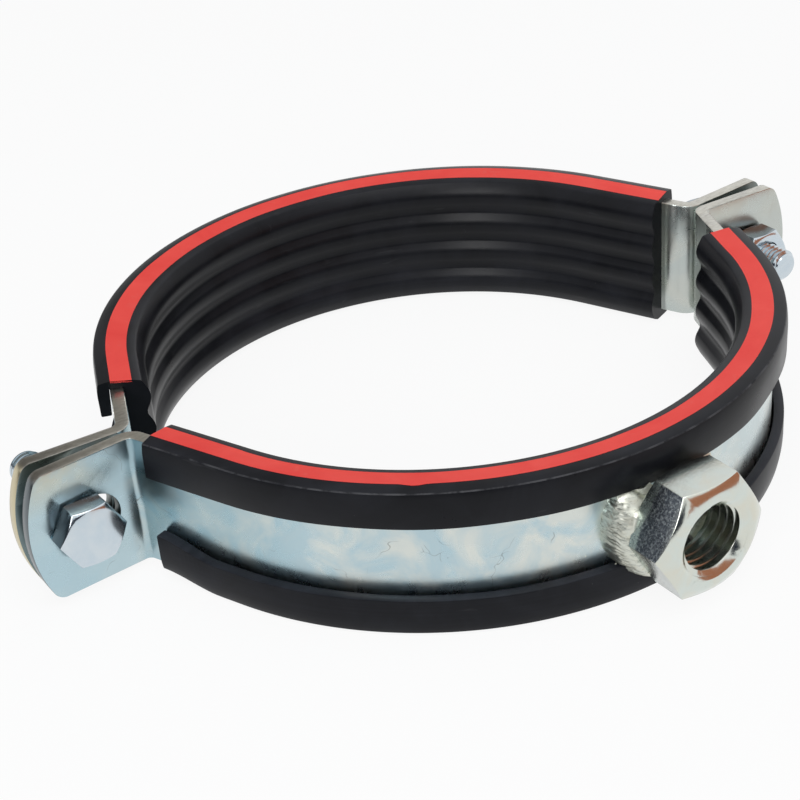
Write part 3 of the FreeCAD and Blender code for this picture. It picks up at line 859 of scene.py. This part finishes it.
def new_material(name):
    """Empty material with a Principled shader; gives the material, its tree and the shader's inputs."""
    material = bpy.data.materials.new(name)
    material.use_nodes = True
    tree = material.node_tree
    tree.nodes.clear()
    shader = tree.nodes.new("ShaderNodeBsdfPrincipled")
    end = tree.nodes.new("ShaderNodeOutputMaterial")
    tree.links.new(shader.outputs[0], end.inputs["Surface"])
    return material, tree, shader.inputs


def wire(tree, inputs, **values):
    for key, value in values.items():
        label = key.replace("_", " ")
        if isinstance(value, bpy.types.NodeSocket):
            tree.links.new(value, inputs[label])
        else:
            inputs[label].default_value = value


def bumped(tree, height, distance, strength=1.0, normal=None):
    wires = {"Height": height, "Distance": distance, "Strength": strength}
    if normal is not None:
        wires["Normal"] = normal
    return add(tree, "ShaderNodeBump", wires).outputs["Normal"]


def zinc_plate():
    """Rolled strip under thin zinc: pale blue and cream areas, hairlines along it, wandering scratches, specks, and
    painted shade where the ears face each other.
    """
    material, tree, inputs = new_material("zinc_plate")
    run = use(tree, RUN)["Run"]
    bloom = use(tree, BLOOM, Place=run, Size=13.0, Crispness=0.3, Cover=0.5)
    cloud = use(tree, BLOOM, Place=run, Size=5.0, Crispness=0.12, Cover=0.5)
    lines = use(tree, HAIRLINES, Run=run, Spacing=0.35, Stretch=26.0, Amount=0.5)
    scratches = use(tree, SCRATCHES, Place=run, Spacing=13.0, Width=0.07, Share=0.42)["Scratches"]
    specks = use(tree, SPECKS, Place=run, Spacing=3.2, Speck_Size=0.15, Share=0.16)
    places = use(tree, STRIP_PLACES)
    colour = mixed(tree, bloom["Patches"], ZINC_BLUE, ZINC_CREAM)
    colour = mixed(tree, math_node(tree, "MULTIPLY", places["Nut Side"], 0.5), colour, ZINC_CREAM)
    colour = mixed(tree, math_node(tree, "MULTIPLY", cloud["Patches"], 0.35), colour, ZINC_GREY)
    creamy = math_node(tree, "MULTIPLY", places["Ear Rim"], ranged(tree, bloom["Cloud"], 0.35, 0.6))
    colour = mixed(tree, math_node(tree, "MULTIPLY", places["Left Ear"], 0.85), colour, ZINC_BLUE)
    colour = mixed(tree, math_node(tree, "MULTIPLY", creamy, 0.8), colour, ZINC_GOLD)
    colour = mixed(tree, math_node(tree, "MULTIPLY", places["Left Leg"], 0.5), colour, ZINC_TEAL)
    colour = mixed(tree, math_node(tree, "MULTIPLY", places["Right End"], 0.75), colour, ZINC_PUTTY)
    # Painted shade on the ears' faces that look at each other, where little light gets in between them.
    colour = mixed(tree, math_node(tree, "MULTIPLY", places["Between Ears"], 0.8), colour, PAINTED_ZINC_SHADE)
    colour = mixed(tree, math_node(tree, "MULTIPLY", scratches, 0.55), colour, ZINC_SCRATCH)
    colour = mixed(tree, math_node(tree, "MULTIPLY", specks["Specks"], 0.7), colour, ZINC_SPECK)
    rough = ranged(tree, cloud["Cloud"], 0.3, 0.7, 0.24, 0.34)
    rough = math_node(tree, "ADD", rough, math_node(tree, "MULTIPLY", scratches, 0.15))
    normal = bumped(tree, lines["Grain"], 0.006 * MM, 0.5)
    normal = bumped(tree, cloud["Cloud"], 0.05 * MM, 0.3, normal)
    normal = bumped(tree, specks["Specks"], -0.05 * MM, 0.7, normal)
    wire(tree, inputs, Base_Color=colour, Metallic=1.0, Roughness=rough, Normal=normal)
    return material


ZINC_BLUE = (0.44, 0.59, 0.65, 1)
ZINC_CREAM = (0.69, 0.72, 0.675, 1)
ZINC_GREY = (0.58, 0.65, 0.66, 1)
ZINC_GOLD = (0.60, 0.575, 0.44, 1)
ZINC_TEAL = (0.20, 0.37, 0.44, 1)
ZINC_PUTTY = (0.50, 0.515, 0.475, 1)
# Painted shade, used between the ears and on the walls of the slots.
PAINTED_ZINC_SHADE = (0.10, 0.125, 0.12, 1)
ZINC_SCRATCH = (0.20, 0.21, 0.20, 1)
ZINC_SPECK = (0.10, 0.09, 0.08, 1)


def cut_edge():
    """Sheared edge of the strip under thin zinc: brownish grey, with fine marks across the thickness; painted shade on
    the walls of the ears' slots.
    """
    material, tree, inputs = new_material("cut_edge")
    run = use(tree, RUN)["Run"]
    stretch = add(tree, "ShaderNodeVectorMath", {0: run, 1: (1.8, 0.5, 0.6)}, operation="MULTIPLY").outputs[0]
    marks = add(tree, "ShaderNodeTexNoise", {"Vector": stretch, "Scale": 1.0, "Detail": 4.0, "Roughness": 0.55})
    patches = use(tree, BLOOM, Place=run, Size=7.0, Crispness=0.12, Cover=0.45)
    colour = mixed(tree, ranged(tree, marks.outputs["Fac"], 0.3, 0.7), EDGE_DARK, EDGE_PALE)
    colour = mixed(tree, math_node(tree, "MULTIPLY", patches["Patches"], 0.6), colour, EDGE_CREAM)
    places = use(tree, STRIP_PLACES)
    colour = mixed(tree, math_node(tree, "MULTIPLY", places["Left End"], 0.8), colour, EDGE_WORN)
    # Painted shade on the walls of the ears' slots, which light hardly reaches.
    colour = mixed(tree, math_node(tree, "MULTIPLY", places["Slot"], 0.9), colour, PAINTED_ZINC_SHADE)
    facing = add(tree, "ShaderNodeSeparateXYZ", {0: add(tree, "ShaderNodeTexCoord").outputs["Normal"]}).outputs[0]
    end = math_node(tree, "MULTIPLY", ranged(tree, math_node(tree, "ABSOLUTE", facing), 0.4, 0.7), 0.9)
    end = math_node(tree, "MULTIPLY", end, math_node(tree, "MULTIPLY", places["Left Ear"], places["Ear End"]))
    end_colour = mixed(tree, places["Front Half"], EDGE_YELLOW, EDGE_BLUE)
    colour = mixed(tree, end, colour, end_colour)
    normal = bumped(tree, marks.outputs["Fac"], 0.04 * MM, 0.5)
    wire(tree, inputs, Base_Color=colour, Metallic=1.0, Roughness=0.3, Normal=normal)
    return material


EDGE_DARK = (0.36, 0.35, 0.32, 1)
EDGE_PALE = (0.60, 0.60, 0.56, 1)
EDGE_CREAM = (0.64, 0.62, 0.54, 1)
EDGE_WORN = (0.15, 0.14, 0.125, 1)
EDGE_YELLOW = (0.64, 0.57, 0.38, 1)
EDGE_BLUE = (0.13, 0.155, 0.17, 1)


def lining_rubber():
    """Extruded rubber: satin black, faint lines along the run, scuffs, and a bluish layer that is partly dust and
    partly painted sheen on what looks up and what lies low.
    """
    material, tree, inputs = new_material("lining_rubber")
    run = use(tree, RUN)["Run"]
    haze = use(tree, BLOOM, Place=run, Size=14.0, Crispness=0.16, Cover=0.46)
    lines = use(tree, HAIRLINES, Run=run, Spacing=0.5, Stretch=30.0, Amount=0.55)
    rubs = use(tree, HAIRLINES, Run=run, Spacing=2.4, Stretch=5.0, Amount=0.3)
    nicks = use(tree, SCRATCHES, Place=run, Spacing=9.0, Width=0.06, Share=0.3)["Scratches"]
    lint = use(tree, SPECKS, Place=run, Spacing=3.4, Speck_Size=0.13, Share=0.16)
    up = add(tree, "ShaderNodeSeparateXYZ", {0: add(tree, "ShaderNodeNewGeometry").outputs["Normal"]}).outputs[2]
    lying = ranged(tree, up, 0.35, 0.9)
    streaks = ranged(tree, lines["Grain"], 0.35, 0.65, 0.5, 1.1)
    dust_and_sheen_breakup = math_node(tree, "MULTIPLY", ranged(tree, haze["Cloud"], 0.3, 0.7, 0.35, 1.0), streaks)
    height = add(tree, "ShaderNodeSeparateXYZ", {0: run}).outputs[2]
    low_down = ranged(tree, height, 2.0, -6.0, 0.5, 1.3)
    standing = ranged(tree, height, -2.0, -9.0, 0.0, 0.28)
    # Dust and painted sheen together: on faces that look up, more the lower they lie, and on standing faces low down.
    dust_and_sheen_share = math_node(tree, "MAXIMUM", math_node(tree, "MULTIPLY", lying, low_down), standing)
    film = math_node(tree, "MULTIPLY", dust_and_sheen_share, dust_and_sheen_breakup)
    colour = mixed(tree, haze["Patches"], RUBBER_DARK, RUBBER_SOFT)
    colour = mixed(tree, math_node(tree, "MULTIPLY", film, 0.6), colour, RUBBER_DUST_AND_SHEEN)
    colour = mixed(tree, math_node(tree, "MULTIPLY", rubs["Lines"], 0.3), colour, RUBBER_RUB)
    colour = mixed(tree, math_node(tree, "MULTIPLY", nicks, 0.5), colour, RUBBER_RUB)
    colour = mixed(tree, math_node(tree, "MULTIPLY", lint["Specks"], 0.4), colour, RUBBER_LINT)
    rough = ranged(tree, haze["Cloud"], 0.3, 0.7, 0.27, 0.36)
    rough = math_node(tree, "ADD", rough, math_node(tree, "MULTIPLY", film, 0.12))
    normal = bumped(tree, lines["Grain"], 0.015 * MM, 0.4)
    normal = bumped(tree, haze["Cloud"], 0.1 * MM, 0.4, normal)
    wire(tree, inputs, Base_Color=colour, Roughness=rough, Normal=normal, Specular_IOR_Level=0.14)
    return material


RUBBER_DARK = (0.0056, 0.0060, 0.0078, 1)
RUBBER_SOFT = (0.0105, 0.0112, 0.0145, 1)
RUBBER_DUST_AND_SHEEN = (0.038, 0.041, 0.053, 1)
RUBBER_RUB = (0.036, 0.036, 0.040, 1)
RUBBER_LINT = (0.10, 0.10, 0.10, 1)


def arris_wear_and_highlight():
    """Outer arris of the rims: the same rubber, with a broken grey line along it, partly chafing and partly painted
    highlight.
    """
    material, tree, inputs = new_material("arris_wear_and_highlight")
    run = use(tree, RUN)["Run"]
    line_patches = use(tree, BLOOM, Place=run, Size=3.5, Crispness=0.25, Cover=0.52)
    colour = mixed(tree, line_patches["Patches"], RUBBER_SOFT, ARRIS_WEAR_AND_HIGHLIGHT)
    normal = bumped(tree, line_patches["Cloud"], 0.05 * MM, 0.4)
    wire(tree, inputs, Base_Color=colour, Roughness=0.4, Normal=normal, Specular_IOR_Level=0.14)
    return material


ARRIS_WEAR_AND_HIGHLIGHT = (0.055, 0.056, 0.062, 1)


def strand_rubber():
    """Red strand: matte, a little paler where it was handled, with faint smudges."""
    material, tree, inputs = new_material("strand_rubber")
    run = use(tree, RUN)["Run"]
    tone = use(tree, BLOOM, Place=run, Size=12.0, Crispness=0.12, Cover=0.5)
    smudge = use(tree, BLOOM, Place=run, Size=3.0, Crispness=0.35, Cover=0.32)
    lines = use(tree, HAIRLINES, Run=run, Spacing=0.6, Stretch=14.0, Amount=0.4)
    colour = mixed(tree, tone["Patches"], RED_DEEP, RED_BRIGHT)
    colour = mixed(tree, math_node(tree, "MULTIPLY", smudge["Patches"], 0.3), colour, RED_SMUDGE)
    normal = bumped(tree, lines["Grain"], 0.03 * MM, 0.5)
    wire(tree, inputs, Base_Color=colour, Roughness=0.5, Normal=normal, Specular_IOR_Level=0.18)
    return material


RED_DEEP = (0.90, 0.066, 0.056, 1)
RED_BRIGHT = (0.97, 0.098, 0.080, 1)
RED_SMUDGE = (0.86, 0.17, 0.14, 1)


def plated_nut():
    """Connection nut: bright plating over drawn bar, greenish white, its flats finely dimpled; painted shade with
    painted glints on its slanted side flats, most on the upper ones.
    """
    material, tree, inputs = new_material("plated_nut")
    coordinates = add(tree, "ShaderNodeTexCoord").outputs
    large = add(tree, "ShaderNodeVectorMath", {0: coordinates["Object"], "Scale": 1 / MM}, operation="SCALE").outputs[0]
    facing = add(tree, "ShaderNodeSeparateXYZ", {0: coordinates["Normal"]}).outputs
    flats = ranged(tree, math_node(tree, "ABSOLUTE", facing[1]), 0.3, 0.1)
    sideways = ranged(tree, math_node(tree, "ABSOLUTE", facing[0]), 0.6, 0.8)
    # Painted shade on the slanted side flats, strongest on the upper ones.
    shaded = math_node(tree, "MULTIPLY", math_node(tree, "MULTIPLY", sideways, flats), ranged(tree, facing[2], -0.3, 0.3, 0.35, 1.0))
    dimples = add(tree, "ShaderNodeTexNoise", {"Vector": large, "Scale": 1.9, "Detail": 5.0, "Roughness": 0.75})
    swirl = use(tree, BLOOM, Place=large, Size=6.0, Crispness=0.16, Cover=0.45)
    specks = use(tree, SPECKS, Place=large, Spacing=1.4, Speck_Size=0.1, Share=0.18)
    colour = mixed(tree, swirl["Patches"], NUT_PALE, NUT_CREAM)
    glints = ranged(tree, dimples.outputs["Fac"], 0.50, 0.62)
    depth = add(tree, "ShaderNodeSeparateXYZ", {0: large}).outputs[1]
    waved = math_node(tree, "ADD", depth, math_node(tree, "MULTIPLY", swirl["Cloud"], 3.0))
    melted = math_node(tree, "MULTIPLY", ranged(tree, waved, -81.7, -81.1), flats)
    colour = mixed(tree, math_node(tree, "MULTIPLY", flats, 0.2), colour, NUT_GLINT)
    # Painted shade broken by painted glints from the dimples.
    colour = mixed(tree, math_node(tree, "MULTIPLY", shaded, 0.95), colour, mixed(tree, glints, NUT_PAINTED_SHADE, NUT_GLINT))
    colour = mixed(tree, math_node(tree, "MULTIPLY", melted, 0.85), colour, NUT_MELTED)
    colour = mixed(tree, math_node(tree, "MULTIPLY", specks["Specks"], 0.6), colour, ZINC_SPECK)
    rough = ranged(tree, dimples.outputs["Fac"], 0.3, 0.7, 0.11, 0.2)
    rough = math_node(tree, "ADD", rough, math_node(tree, "MULTIPLY", shaded, 0.12))
    pitted = math_node(tree, "MULTIPLY", dimples.outputs["Fac"], math_node(tree, "ADD", flats, 0.15))
    normal = bumped(tree, pitted, 0.07 * MM, 0.7)
    wire(tree, inputs, Base_Color=colour, Metallic=1.0, Roughness=rough, Normal=normal)
    return material


def cut_thread():
    """Thread of the connection nut: cut after rolling, thinly plated and oily."""
    material, tree, inputs = new_material("cut_thread")
    place = add(tree, "ShaderNodeTexCoord").outputs["Object"]
    large = add(tree, "ShaderNodeVectorMath", {0: place, "Scale": 1 / MM}, operation="SCALE").outputs[0]
    oil = use(tree, BLOOM, Place=large, Size=3.0, Crispness=0.15, Cover=0.5)
    colour = mixed(tree, oil["Patches"], THREAD_DARK, THREAD_PALE)
    normal = bumped(tree, oil["Cloud"], 0.04 * MM, 0.4)
    wire(tree, inputs, Base_Color=colour, Metallic=1.0, Roughness=0.27, Normal=normal)
    return material


THREAD_DARK = (0.30, 0.31, 0.29, 1)
THREAD_PALE = (0.45, 0.455, 0.42, 1)
NUT_PALE = (0.63, 0.68, 0.64, 1)
NUT_CREAM = (0.66, 0.65, 0.56, 1)
NUT_PAINTED_SHADE = (0.075, 0.09, 0.115, 1)
NUT_GLINT = (0.42, 0.46, 0.48, 1)
NUT_MELTED = (0.52, 0.60, 0.57, 1)


def fastener_zinc():
    """Bolts and nuts: smooth, cold headed steel under bluish bright zinc; painted shade on the side flats and at the
    ears' seats.
    """
    material, tree, inputs = new_material("fastener_zinc")
    place = add(tree, "ShaderNodeTexCoord").outputs["Object"]
    large = add(tree, "ShaderNodeVectorMath", {0: place, "Scale": 1 / MM}, operation="SCALE").outputs[0]
    cloud = use(tree, BLOOM, Place=large, Size=4.0, Crispness=0.15, Cover=0.5)
    specks = use(tree, SPECKS, Place=large, Spacing=1.5, Speck_Size=0.09, Share=0.15)
    colour = mixed(tree, cloud["Patches"], BOLT_BLUE, BOLT_PALE)
    facing = add(tree, "ShaderNodeSeparateXYZ", {0: add(tree, "ShaderNodeTexCoord").outputs["Normal"]}).outputs
    # Painted shade on the side faces, most on those facing left and right.
    sideways = ranged(tree, math_node(tree, "ABSOLUTE", facing[0]), 0.4, 0.8, 0.55, 0.9)
    sides = math_node(tree, "MULTIPLY", sideways, ranged(tree, math_node(tree, "ABSOLUTE", facing[1]), 0.5, 0.2))
    colour = mixed(tree, sides, colour, BOLT_PAINTED_SHADE)
    # Painted shade on faces down at the ears' seats, between the parts.
    deep = math_node(tree, "ABSOLUTE", add(tree, "ShaderNodeSeparateXYZ", {0: place}).outputs[1])
    colour = mixed(tree, ranged(tree, deep, NUT_SEAT + 0.2 * MM, NUT_SEAT + 0.1 * MM, 0.0, 0.95), colour, BOLT_PAINTED_SHADE)
    colour = mixed(tree, math_node(tree, "MULTIPLY", specks["Specks"], 0.6), colour, ZINC_SPECK)
    rough = ranged(tree, cloud["Cloud"], 0.3, 0.7, 0.12, 0.2)
    normal = bumped(tree, cloud["Cloud"], 0.05 * MM, 0.3)
    wire(tree, inputs, Base_Color=colour, Metallic=1.0, Roughness=rough, Normal=normal)
    return material


BOLT_BLUE = (0.55, 0.63, 0.69, 1)
BOLT_PALE = (0.62, 0.68, 0.72, 1)
BOLT_PAINTED_SHADE = (0.07, 0.085, 0.10, 1)


def weld_metal():
    """Weld under the plating: silvery ripples, greenish dark between them and along the toes."""
    material, tree, inputs = new_material("weld_metal")
    place = add(tree, "ShaderNodeTexCoord").outputs["Object"]
    large = add(tree, "ShaderNodeVectorMath", {0: place, "Scale": 1 / MM}, operation="SCALE").outputs[0]
    drawn = add(tree, "ShaderNodeVectorMath", {0: large, 1: (0.4, 0.5, 1.9)}, operation="MULTIPLY").outputs[0]
    crust = add(tree, "ShaderNodeTexNoise", {
        "Vector": drawn, "Scale": 1.2, "Detail": 4.0, "Roughness": 0.6, "Distortion": 0.5})
    spots = use(tree, BLOOM, Place=large, Size=2.2, Crispness=0.2, Cover=0.42)
    colour = mixed(tree, ranged(tree, crust.outputs["Fac"], 0.30, 0.46), WELD_DARK, WELD_PALE)
    colour = mixed(tree, math_node(tree, "MULTIPLY", spots["Patches"], 0.35), colour, WELD_CREAM)
    rough = ranged(tree, crust.outputs["Fac"], 0.3, 0.6, 0.46, 0.34)
    normal = bumped(tree, crust.outputs["Fac"], 0.06 * MM, 0.6)
    wire(tree, inputs, Base_Color=colour, Metallic=1.0, Roughness=rough, Normal=normal)
    return material


WELD_DARK = (0.16, 0.18, 0.16, 1)
WELD_PALE = (0.66, 0.68, 0.61, 1)
WELD_CREAM = (0.62, 0.58, 0.44, 1)


def dress(piece, material, node, slot, *more):
    """Materials, the CAD node that the piece stands for and its body; the slot is not used."""
    for item in (material, *more):
        piece.data.materials.append(item)
    for body, nodes in frame["record"]["behaviour"]["bodies"].items():
        if node in nodes:
            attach(piece, body)
    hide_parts(node)


def edges_marked(piece):
    """Faces of the strip that its shears made: the long edges and the ears' ends get the second material."""
    for face in piece.data.polygons:
        along_ear = abs(face.normal.y) < 0.5 and abs(face.center.x) > BEND_Y + 1.5 * MM
        if abs(face.normal.z) > 0.8 or along_ear:
            face.material_index = 1


def make_object():
    plate, edge = zinc_plate(), cut_edge()
    rubber, arris, red = lining_rubber(), arris_wear_and_highlight(), strand_rubber()
    zinc, nut_zinc, bead = fastener_zinc(), plated_nut(), weld_metal()
    for half, turn, seed in (("front", FRONT_TURN, 3.0), ("back", BACK_TURN, 8.0)):
        strip = band(half + "_strip", turn)
        dress(strip, plate, half + "_band", "zinc_strip", edge)
        edges_marked(strip)
        marked = 1.0 if half == "front" else 0.0
        dress(lining(half + "_channel", turn, seed, marked), rubber, half + "_lining", "lining_rubber", arris)
        dress(strand(half + "_strand", turn, seed, marked), red, half + "_stripe", "stripe_rubber")
    dress(ear_bolt("left_bolt_skin", "left_bolt", 1, -BOLT_PLACE), zinc, "left_bolt", "fastener_zinc")
    dress(ear_bolt("right_bolt_skin", "right_bolt", -1, BOLT_PLACE), zinc, "right_bolt", "fastener_zinc")
    dress(ear_nut("left_nut_skin", "left_nut", 1, -BOLT_PLACE), zinc, "left_nut", "fastener_zinc")
    dress(ear_nut("right_nut_skin", "right_nut", -1, BOLT_PLACE), zinc, "right_nut", "fastener_zinc")
    dress(connection_nut(), nut_zinc, "connection_nut", "plated_nut", cut_thread())
    dress(weld("left_bead", -1), bead, "left_weld", "weld_metal")
    dress(weld("right_bead", 1), bead, "right_weld", "weld_metal")


# Floor, light and camera


def make_floor():
    """White ground under the rims, lifted to white for the camera so that only a soft shadow shows."""
    bm = bmesh.new()
    bmesh.ops.create_grid(bm, x_segments=1, y_segments=1, size=FLOOR_SIZE)
    bmesh.ops.translate(bm, verts=bm.verts, vec=(0, 0, -RIM_TOP - 0.05 * MM))
    floor = new_object("floor", bm)
    material = bpy.data.materials.new("ground")
    material.use_nodes = True
    tree = material.node_tree
    tree.nodes.clear()
    matte = add(tree, "ShaderNodeBsdfDiffuse", {"Color": GROUND})
    glow = add(tree, "ShaderNodeEmission", {"Color": (1, 1, 1, 1), "Strength": 1.0})
    share = math_node(tree, "MULTIPLY", seen_or_mirrored(tree), GROUND_LIFT)
    blend = add(tree, "ShaderNodeMixShader", {0: share, 1: matte.outputs[0], 2: glow.outputs[0]})
    end = tree.nodes.new("ShaderNodeOutputMaterial")
    tree.links.new(blend.outputs[0], end.inputs["Surface"])
    floor.data.materials.append(material)


FLOOR_SIZE = 4.0
GROUND = (0.90, 0.91, 0.92, 1)
GROUND_LIFT = 0.9


def seen_or_mirrored(tree):
    """1 for what the camera sees, straight or in a mirror or through glass, and 0 for light on a surface."""
    rays = add(tree, "ShaderNodeLightPath").outputs
    mirrored = math_node(tree, "MAXIMUM", rays["Is Glossy Ray"], rays["Is Transmission Ray"])
    return math_node(tree, "MAXIMUM", rays["Is Camera Ray"], mirrored)


def make_room():
    """White room round the object, which lights it at a plain level."""
    world = bpy.data.worlds.new("room")
    bpy.context.scene.world = world
    world.use_nodes = True
    tree = world.node_tree
    tree.nodes.clear()
    light = add(tree, "ShaderNodeBackground", {"Color": ROOM_LIGHT, "Strength": ROOM_LEVEL})
    white = add(tree, "ShaderNodeBackground", {"Color": (1, 1, 1, 1), "Strength": 1.0})
    blend = add(tree, "ShaderNodeMixShader", {0: seen_or_mirrored(tree), 1: light.outputs[0], 2: white.outputs[0]})
    end = tree.nodes.new("ShaderNodeOutputWorld")
    tree.links.new(blend.outputs[0], end.inputs["Surface"])


ROOM_LIGHT = (0.97, 0.985, 1.0, 1)
ROOM_LEVEL = 0.42


def make_screen(name, radius, low, high, start, end, colour):
    """Curved screen that only shiny metal mirrors, as it does the dim room behind a camera."""
    bm = bmesh.new()
    foot, head = (bm.verts.new((0, -radius, height)) for height in (low, high))
    edge = bm.edges.new((foot, head))
    bmesh.ops.rotate(
        bm, verts=bm.verts, cent=(0, 0, 0), matrix=Matrix.Rotation(math.radians(start), 3, "Z"))
    bmesh.ops.spin(
        bm, geom=[foot, head, edge], cent=(0, 0, 0), axis=(0, 0, 1), angle=math.radians(end - start), steps=24,
        use_duplicate=False)
    screen = new_object(name, bm)
    material = bpy.data.materials.new(name)
    material.use_nodes = True
    tree = material.node_tree
    tree.nodes.clear()
    sheet = add(tree, "ShaderNodeEmission", {"Color": colour, "Strength": 1.0})
    finish = tree.nodes.new("ShaderNodeOutputMaterial")
    tree.links.new(sheet.outputs[0], finish.inputs["Surface"])
    screen.data.materials.append(material)
    screen.visible_camera = False
    screen.visible_diffuse = False
    screen.visible_shadow = False


def make_lamp(name, way, distance, size, power):
    """Soft square lamp that looks at the object's middle from the named way."""
    light = bpy.data.lights.new(name, "AREA")
    light.shape = "SQUARE"
    light.size = size
    light.energy = power
    lamp = bpy.data.objects.new(name, light)
    bpy.context.scene.collection.objects.link(lamp)
    away = Vector(way).normalized()
    lamp.location = away * distance
    lamp.rotation_mode = "QUATERNION"
    lamp.rotation_quaternion = away.to_track_quat("Z", "Y")


def make_camera():
    """The photograph's point of view."""
    azimuth, elevation, roll = (math.radians(angle) for angle in CAMERA_ANGLES)
    back = Vector((
        math.sin(azimuth) * math.cos(elevation), -math.cos(azimuth) * math.cos(elevation), math.sin(elevation)))
    right = Vector((math.cos(azimuth), math.sin(azimuth), 0))
    up = back.cross(right)
    target = (right * CAMERA_SHIFT[0] + up * CAMERA_SHIFT[1]) * MM
    rolled_right = right * math.cos(roll) + up * math.sin(roll)
    rolled_up = -right * math.sin(roll) + up * math.cos(roll)
    camera = bpy.data.objects.new("camera", bpy.data.cameras.new("camera"))
    bpy.context.scene.collection.objects.link(camera)
    turn = Matrix((rolled_right, rolled_up, back)).transposed()
    camera.matrix_world = Matrix.Translation(target + back * CAMERA_DISTANCE * MM) @ turn.to_4x4()
    camera.data.lens = FOCAL_PIXELS / PHOTO_WIDTH * camera.data.sensor_width
    camera.data.clip_start = 0.01
    bpy.context.scene.camera = camera


CAMERA_ANGLES = (-31.96, 30.61, -5.01)
CAMERA_SHIFT = (-10.07, -7.08)
CAMERA_DISTANCE = 394.42
FOCAL_PIXELS = 1707.6
PHOTO_WIDTH = 800

bpy.context.scene.view_settings.view_transform = "Standard"
make_object()
make_floor()
make_room()
make_lamp("window", (-0.74, -0.55, 0.40), 1.0, 0.35, 2.7)
make_lamp("ceiling", (-0.15, -0.5, 0.85), 1.3, 1.0, 6.6)
make_screen("warm_screen", 0.42, -0.017, 0.17, 4, 64, (0.46, 0.19, 0.11, 1))
make_screen("dark_screen", 0.40, -0.017, 0.095, -125, -4, (0.025, 0.03, 0.045, 1))
make_screen("brown_screen", 0.60, 0.11, 0.95, 148, 232, (0.30, 0.285, 0.265, 1))
make_camera()
